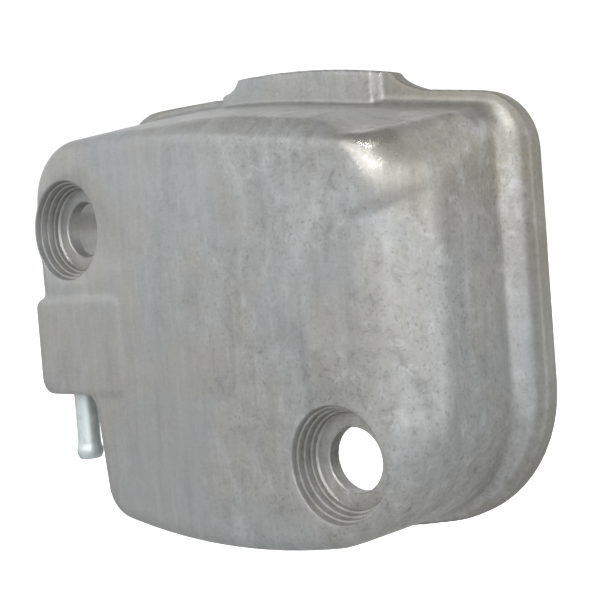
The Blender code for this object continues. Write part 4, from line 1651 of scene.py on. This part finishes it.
@dataclass
class Studio:
    """Camera, pale floor and soft lights."""

    eye: Triple = (0.2222, -0.2652, 0.0777)
    azimuth: float = 40.872
    elevation: float = 2.3
    roll: float = -4.539
    lens: float = 67.518
    floor_z: float = -0.16
    middle: Triple = (0.0, -0.02, 0.06)
    lamps: tuple[Lamp, ...] = (
        Lamp("front_softbox", (0.10, -1.20, 0.85), 1.2, 6.0, (0.985, 0.99, 1.0)),
        Lamp("low_softbox", (-0.77, -0.95, -0.07), 0.9, 0.35, (1.0, 0.995, 0.98)),
        Lamp("camera_softbox", (0.80, -0.90, 0.40), 0.9, 2.2, (0.96, 0.985, 1.0)),
        Lamp("side_softbox", (1.30, 0.00, 0.10), 1.3, 4.4, (1.0, 0.985, 0.96)),
        Lamp("flash_left", (0.36, -0.87, 0.58), 0.03, 0.45),
        Lamp("flash_right", (0.58, -0.74, 0.62), 0.03, 0.45),
        Lamp("ceiling", (0.22, -0.45, 0.90), 0.04, 0.5),
    )

    def camera(self) -> None:
        """Adds the camera and makes it the scene's."""
        azimuth = math.radians(self.azimuth)
        elevation = math.radians(self.elevation)
        roll = math.radians(self.roll)
        level = math.cos(elevation)
        back = Vector((math.sin(azimuth) * level, -math.cos(azimuth) * level, math.sin(elevation)))
        right = (-back).cross(Vector((0.0, 0.0, 1.0))).normalized()
        up = right.cross(-back)
        turned_right = right * math.cos(roll) + up * math.sin(roll)
        turned_up = -right * math.sin(roll) + up * math.cos(roll)
        matrix = Matrix((turned_right, turned_up, back)).transposed().to_4x4()
        matrix.translation = self.eye
        data = bpy.data.cameras.new("camera")
        data.sensor_width = 36.0
        data.lens = self.lens
        data.clip_start = 0.01
        camera = bpy.data.objects.new("camera", data)
        bpy.context.scene.collection.objects.link(camera)
        camera.matrix_world = matrix
        bpy.context.scene.camera = camera

    def floor(self) -> None:
        """Adds a pale floor."""
        bpy.ops.object.select_all(action="DESELECT")
        bpy.ops.mesh.primitive_plane_add(size=40.0, location=(0.0, 0.0, self.floor_z))
        floor = bpy.context.object
        floor.name = "floor"
        sheet = NodeSheet("pale_floor")
        sheet.link((0.58, 0.58, 0.58), sheet.shader.inputs["Base Color"])
        sheet.shader.inputs["Roughness"].default_value = 0.9
        sheet.shader.inputs["Emission Color"].default_value = (1.0, 1.0, 1.0, 1.0)
        seen = sheet.tree.nodes.new("ShaderNodeLightPath").outputs["Is Camera Ray"]
        sheet.link(sheet.sum("MULTIPLY", seen, 1.2), sheet.shader.inputs["Emission Strength"])
        floor.data.materials.append(sheet.material)

    def surroundings(self) -> None:
        """Sets a white surrounding that lights less than it shows."""
        world = bpy.data.worlds.new("white_room")
        world.use_nodes = True
        nodes = world.node_tree.nodes
        links = world.node_tree.links
        shown = nodes.new("ShaderNodeBackground")
        shown.inputs["Color"].default_value = (1.0, 1.0, 1.0, 1.0)
        shown.inputs["Strength"].default_value = 1.1
        lighting = nodes["Background"]
        lighting.inputs["Color"].default_value = (0.97, 0.985, 1.0, 1.0)
        where = nodes.new("ShaderNodeTexCoord")
        height = nodes.new("ShaderNodeSeparateXYZ")
        darker_above = nodes.new("ShaderNodeMapRange")
        links.new(where.outputs["Generated"], height.inputs[0])
        links.new(height.outputs["Z"], darker_above.inputs["Value"])
        for name, value in (("From Min", 0.62), ("From Max", 0.92), ("To Min", 0.84), ("To Max", 0.22)):
            darker_above.inputs[name].default_value = value
        links.new(darker_above.outputs["Result"], lighting.inputs["Strength"])
        path = nodes.new("ShaderNodeLightPath")
        mix = nodes.new("ShaderNodeMixShader")
        links.new(path.outputs["Is Camera Ray"], mix.inputs["Fac"])
        links.new(lighting.outputs[0], mix.inputs[1])
        links.new(shown.outputs[0], mix.inputs[2])
        links.new(mix.outputs[0], nodes["World Output"].inputs["Surface"])
        bpy.context.scene.world = world

    def build(self) -> None:
        """Sets up the whole studio."""
        self.camera()
        self.floor()
        self.surroundings()
        for lamp in self.lamps:
            lamp.add(self.middle)
        bpy.context.scene.view_settings.view_transform = "Standard"


# ---------------------------------------------------------------- whole object


def dress_node(node: str, material: bpy.types.Material) -> None:
    """Gives a CAD node its finish.

    Args:
        node: The node.
        material: The finish.
    """
    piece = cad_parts[node]
    piece.data.materials.clear()
    piece.data.materials.append(material)
    LOG.info("%s: dressed", node)


def main() -> None:
    """Builds the pieces in order, then the studio."""
    aluminium = RawCastAluminium().material()
    zinc = ZincPlating().material()
    sheet = RolledSteel("rolled_sheet", (0.60, 0.60, 0.59), (0.40, 0.40, 0.39), 0.30, 0.45).material()
    spring = RolledSteel("spring_strip", (0.48, 0.50, 0.53), (0.33, 0.34, 0.37), 0.18, 0.30).material()
    casting = Casting()
    casting.build(aluminium)
    HoseNipple(casting).build(zinc)
    Seal(casting).build(MouldedRubber().material())
    PlateScrews(casting).build(zinc)
    Rivet().build(zinc)
    dress_node("breather_plate", sheet)
    dress_node("reed_stop", sheet)
    dress_node("reed_flap", spring)
    dress_node("reed_clamped_end", spring)
    dress_node("breather_gasket", FibreSheet().material())
    OilMeshPad().build(KnittedWire().material())
    Studio().build()


if __name__ == "__main__":
    main()
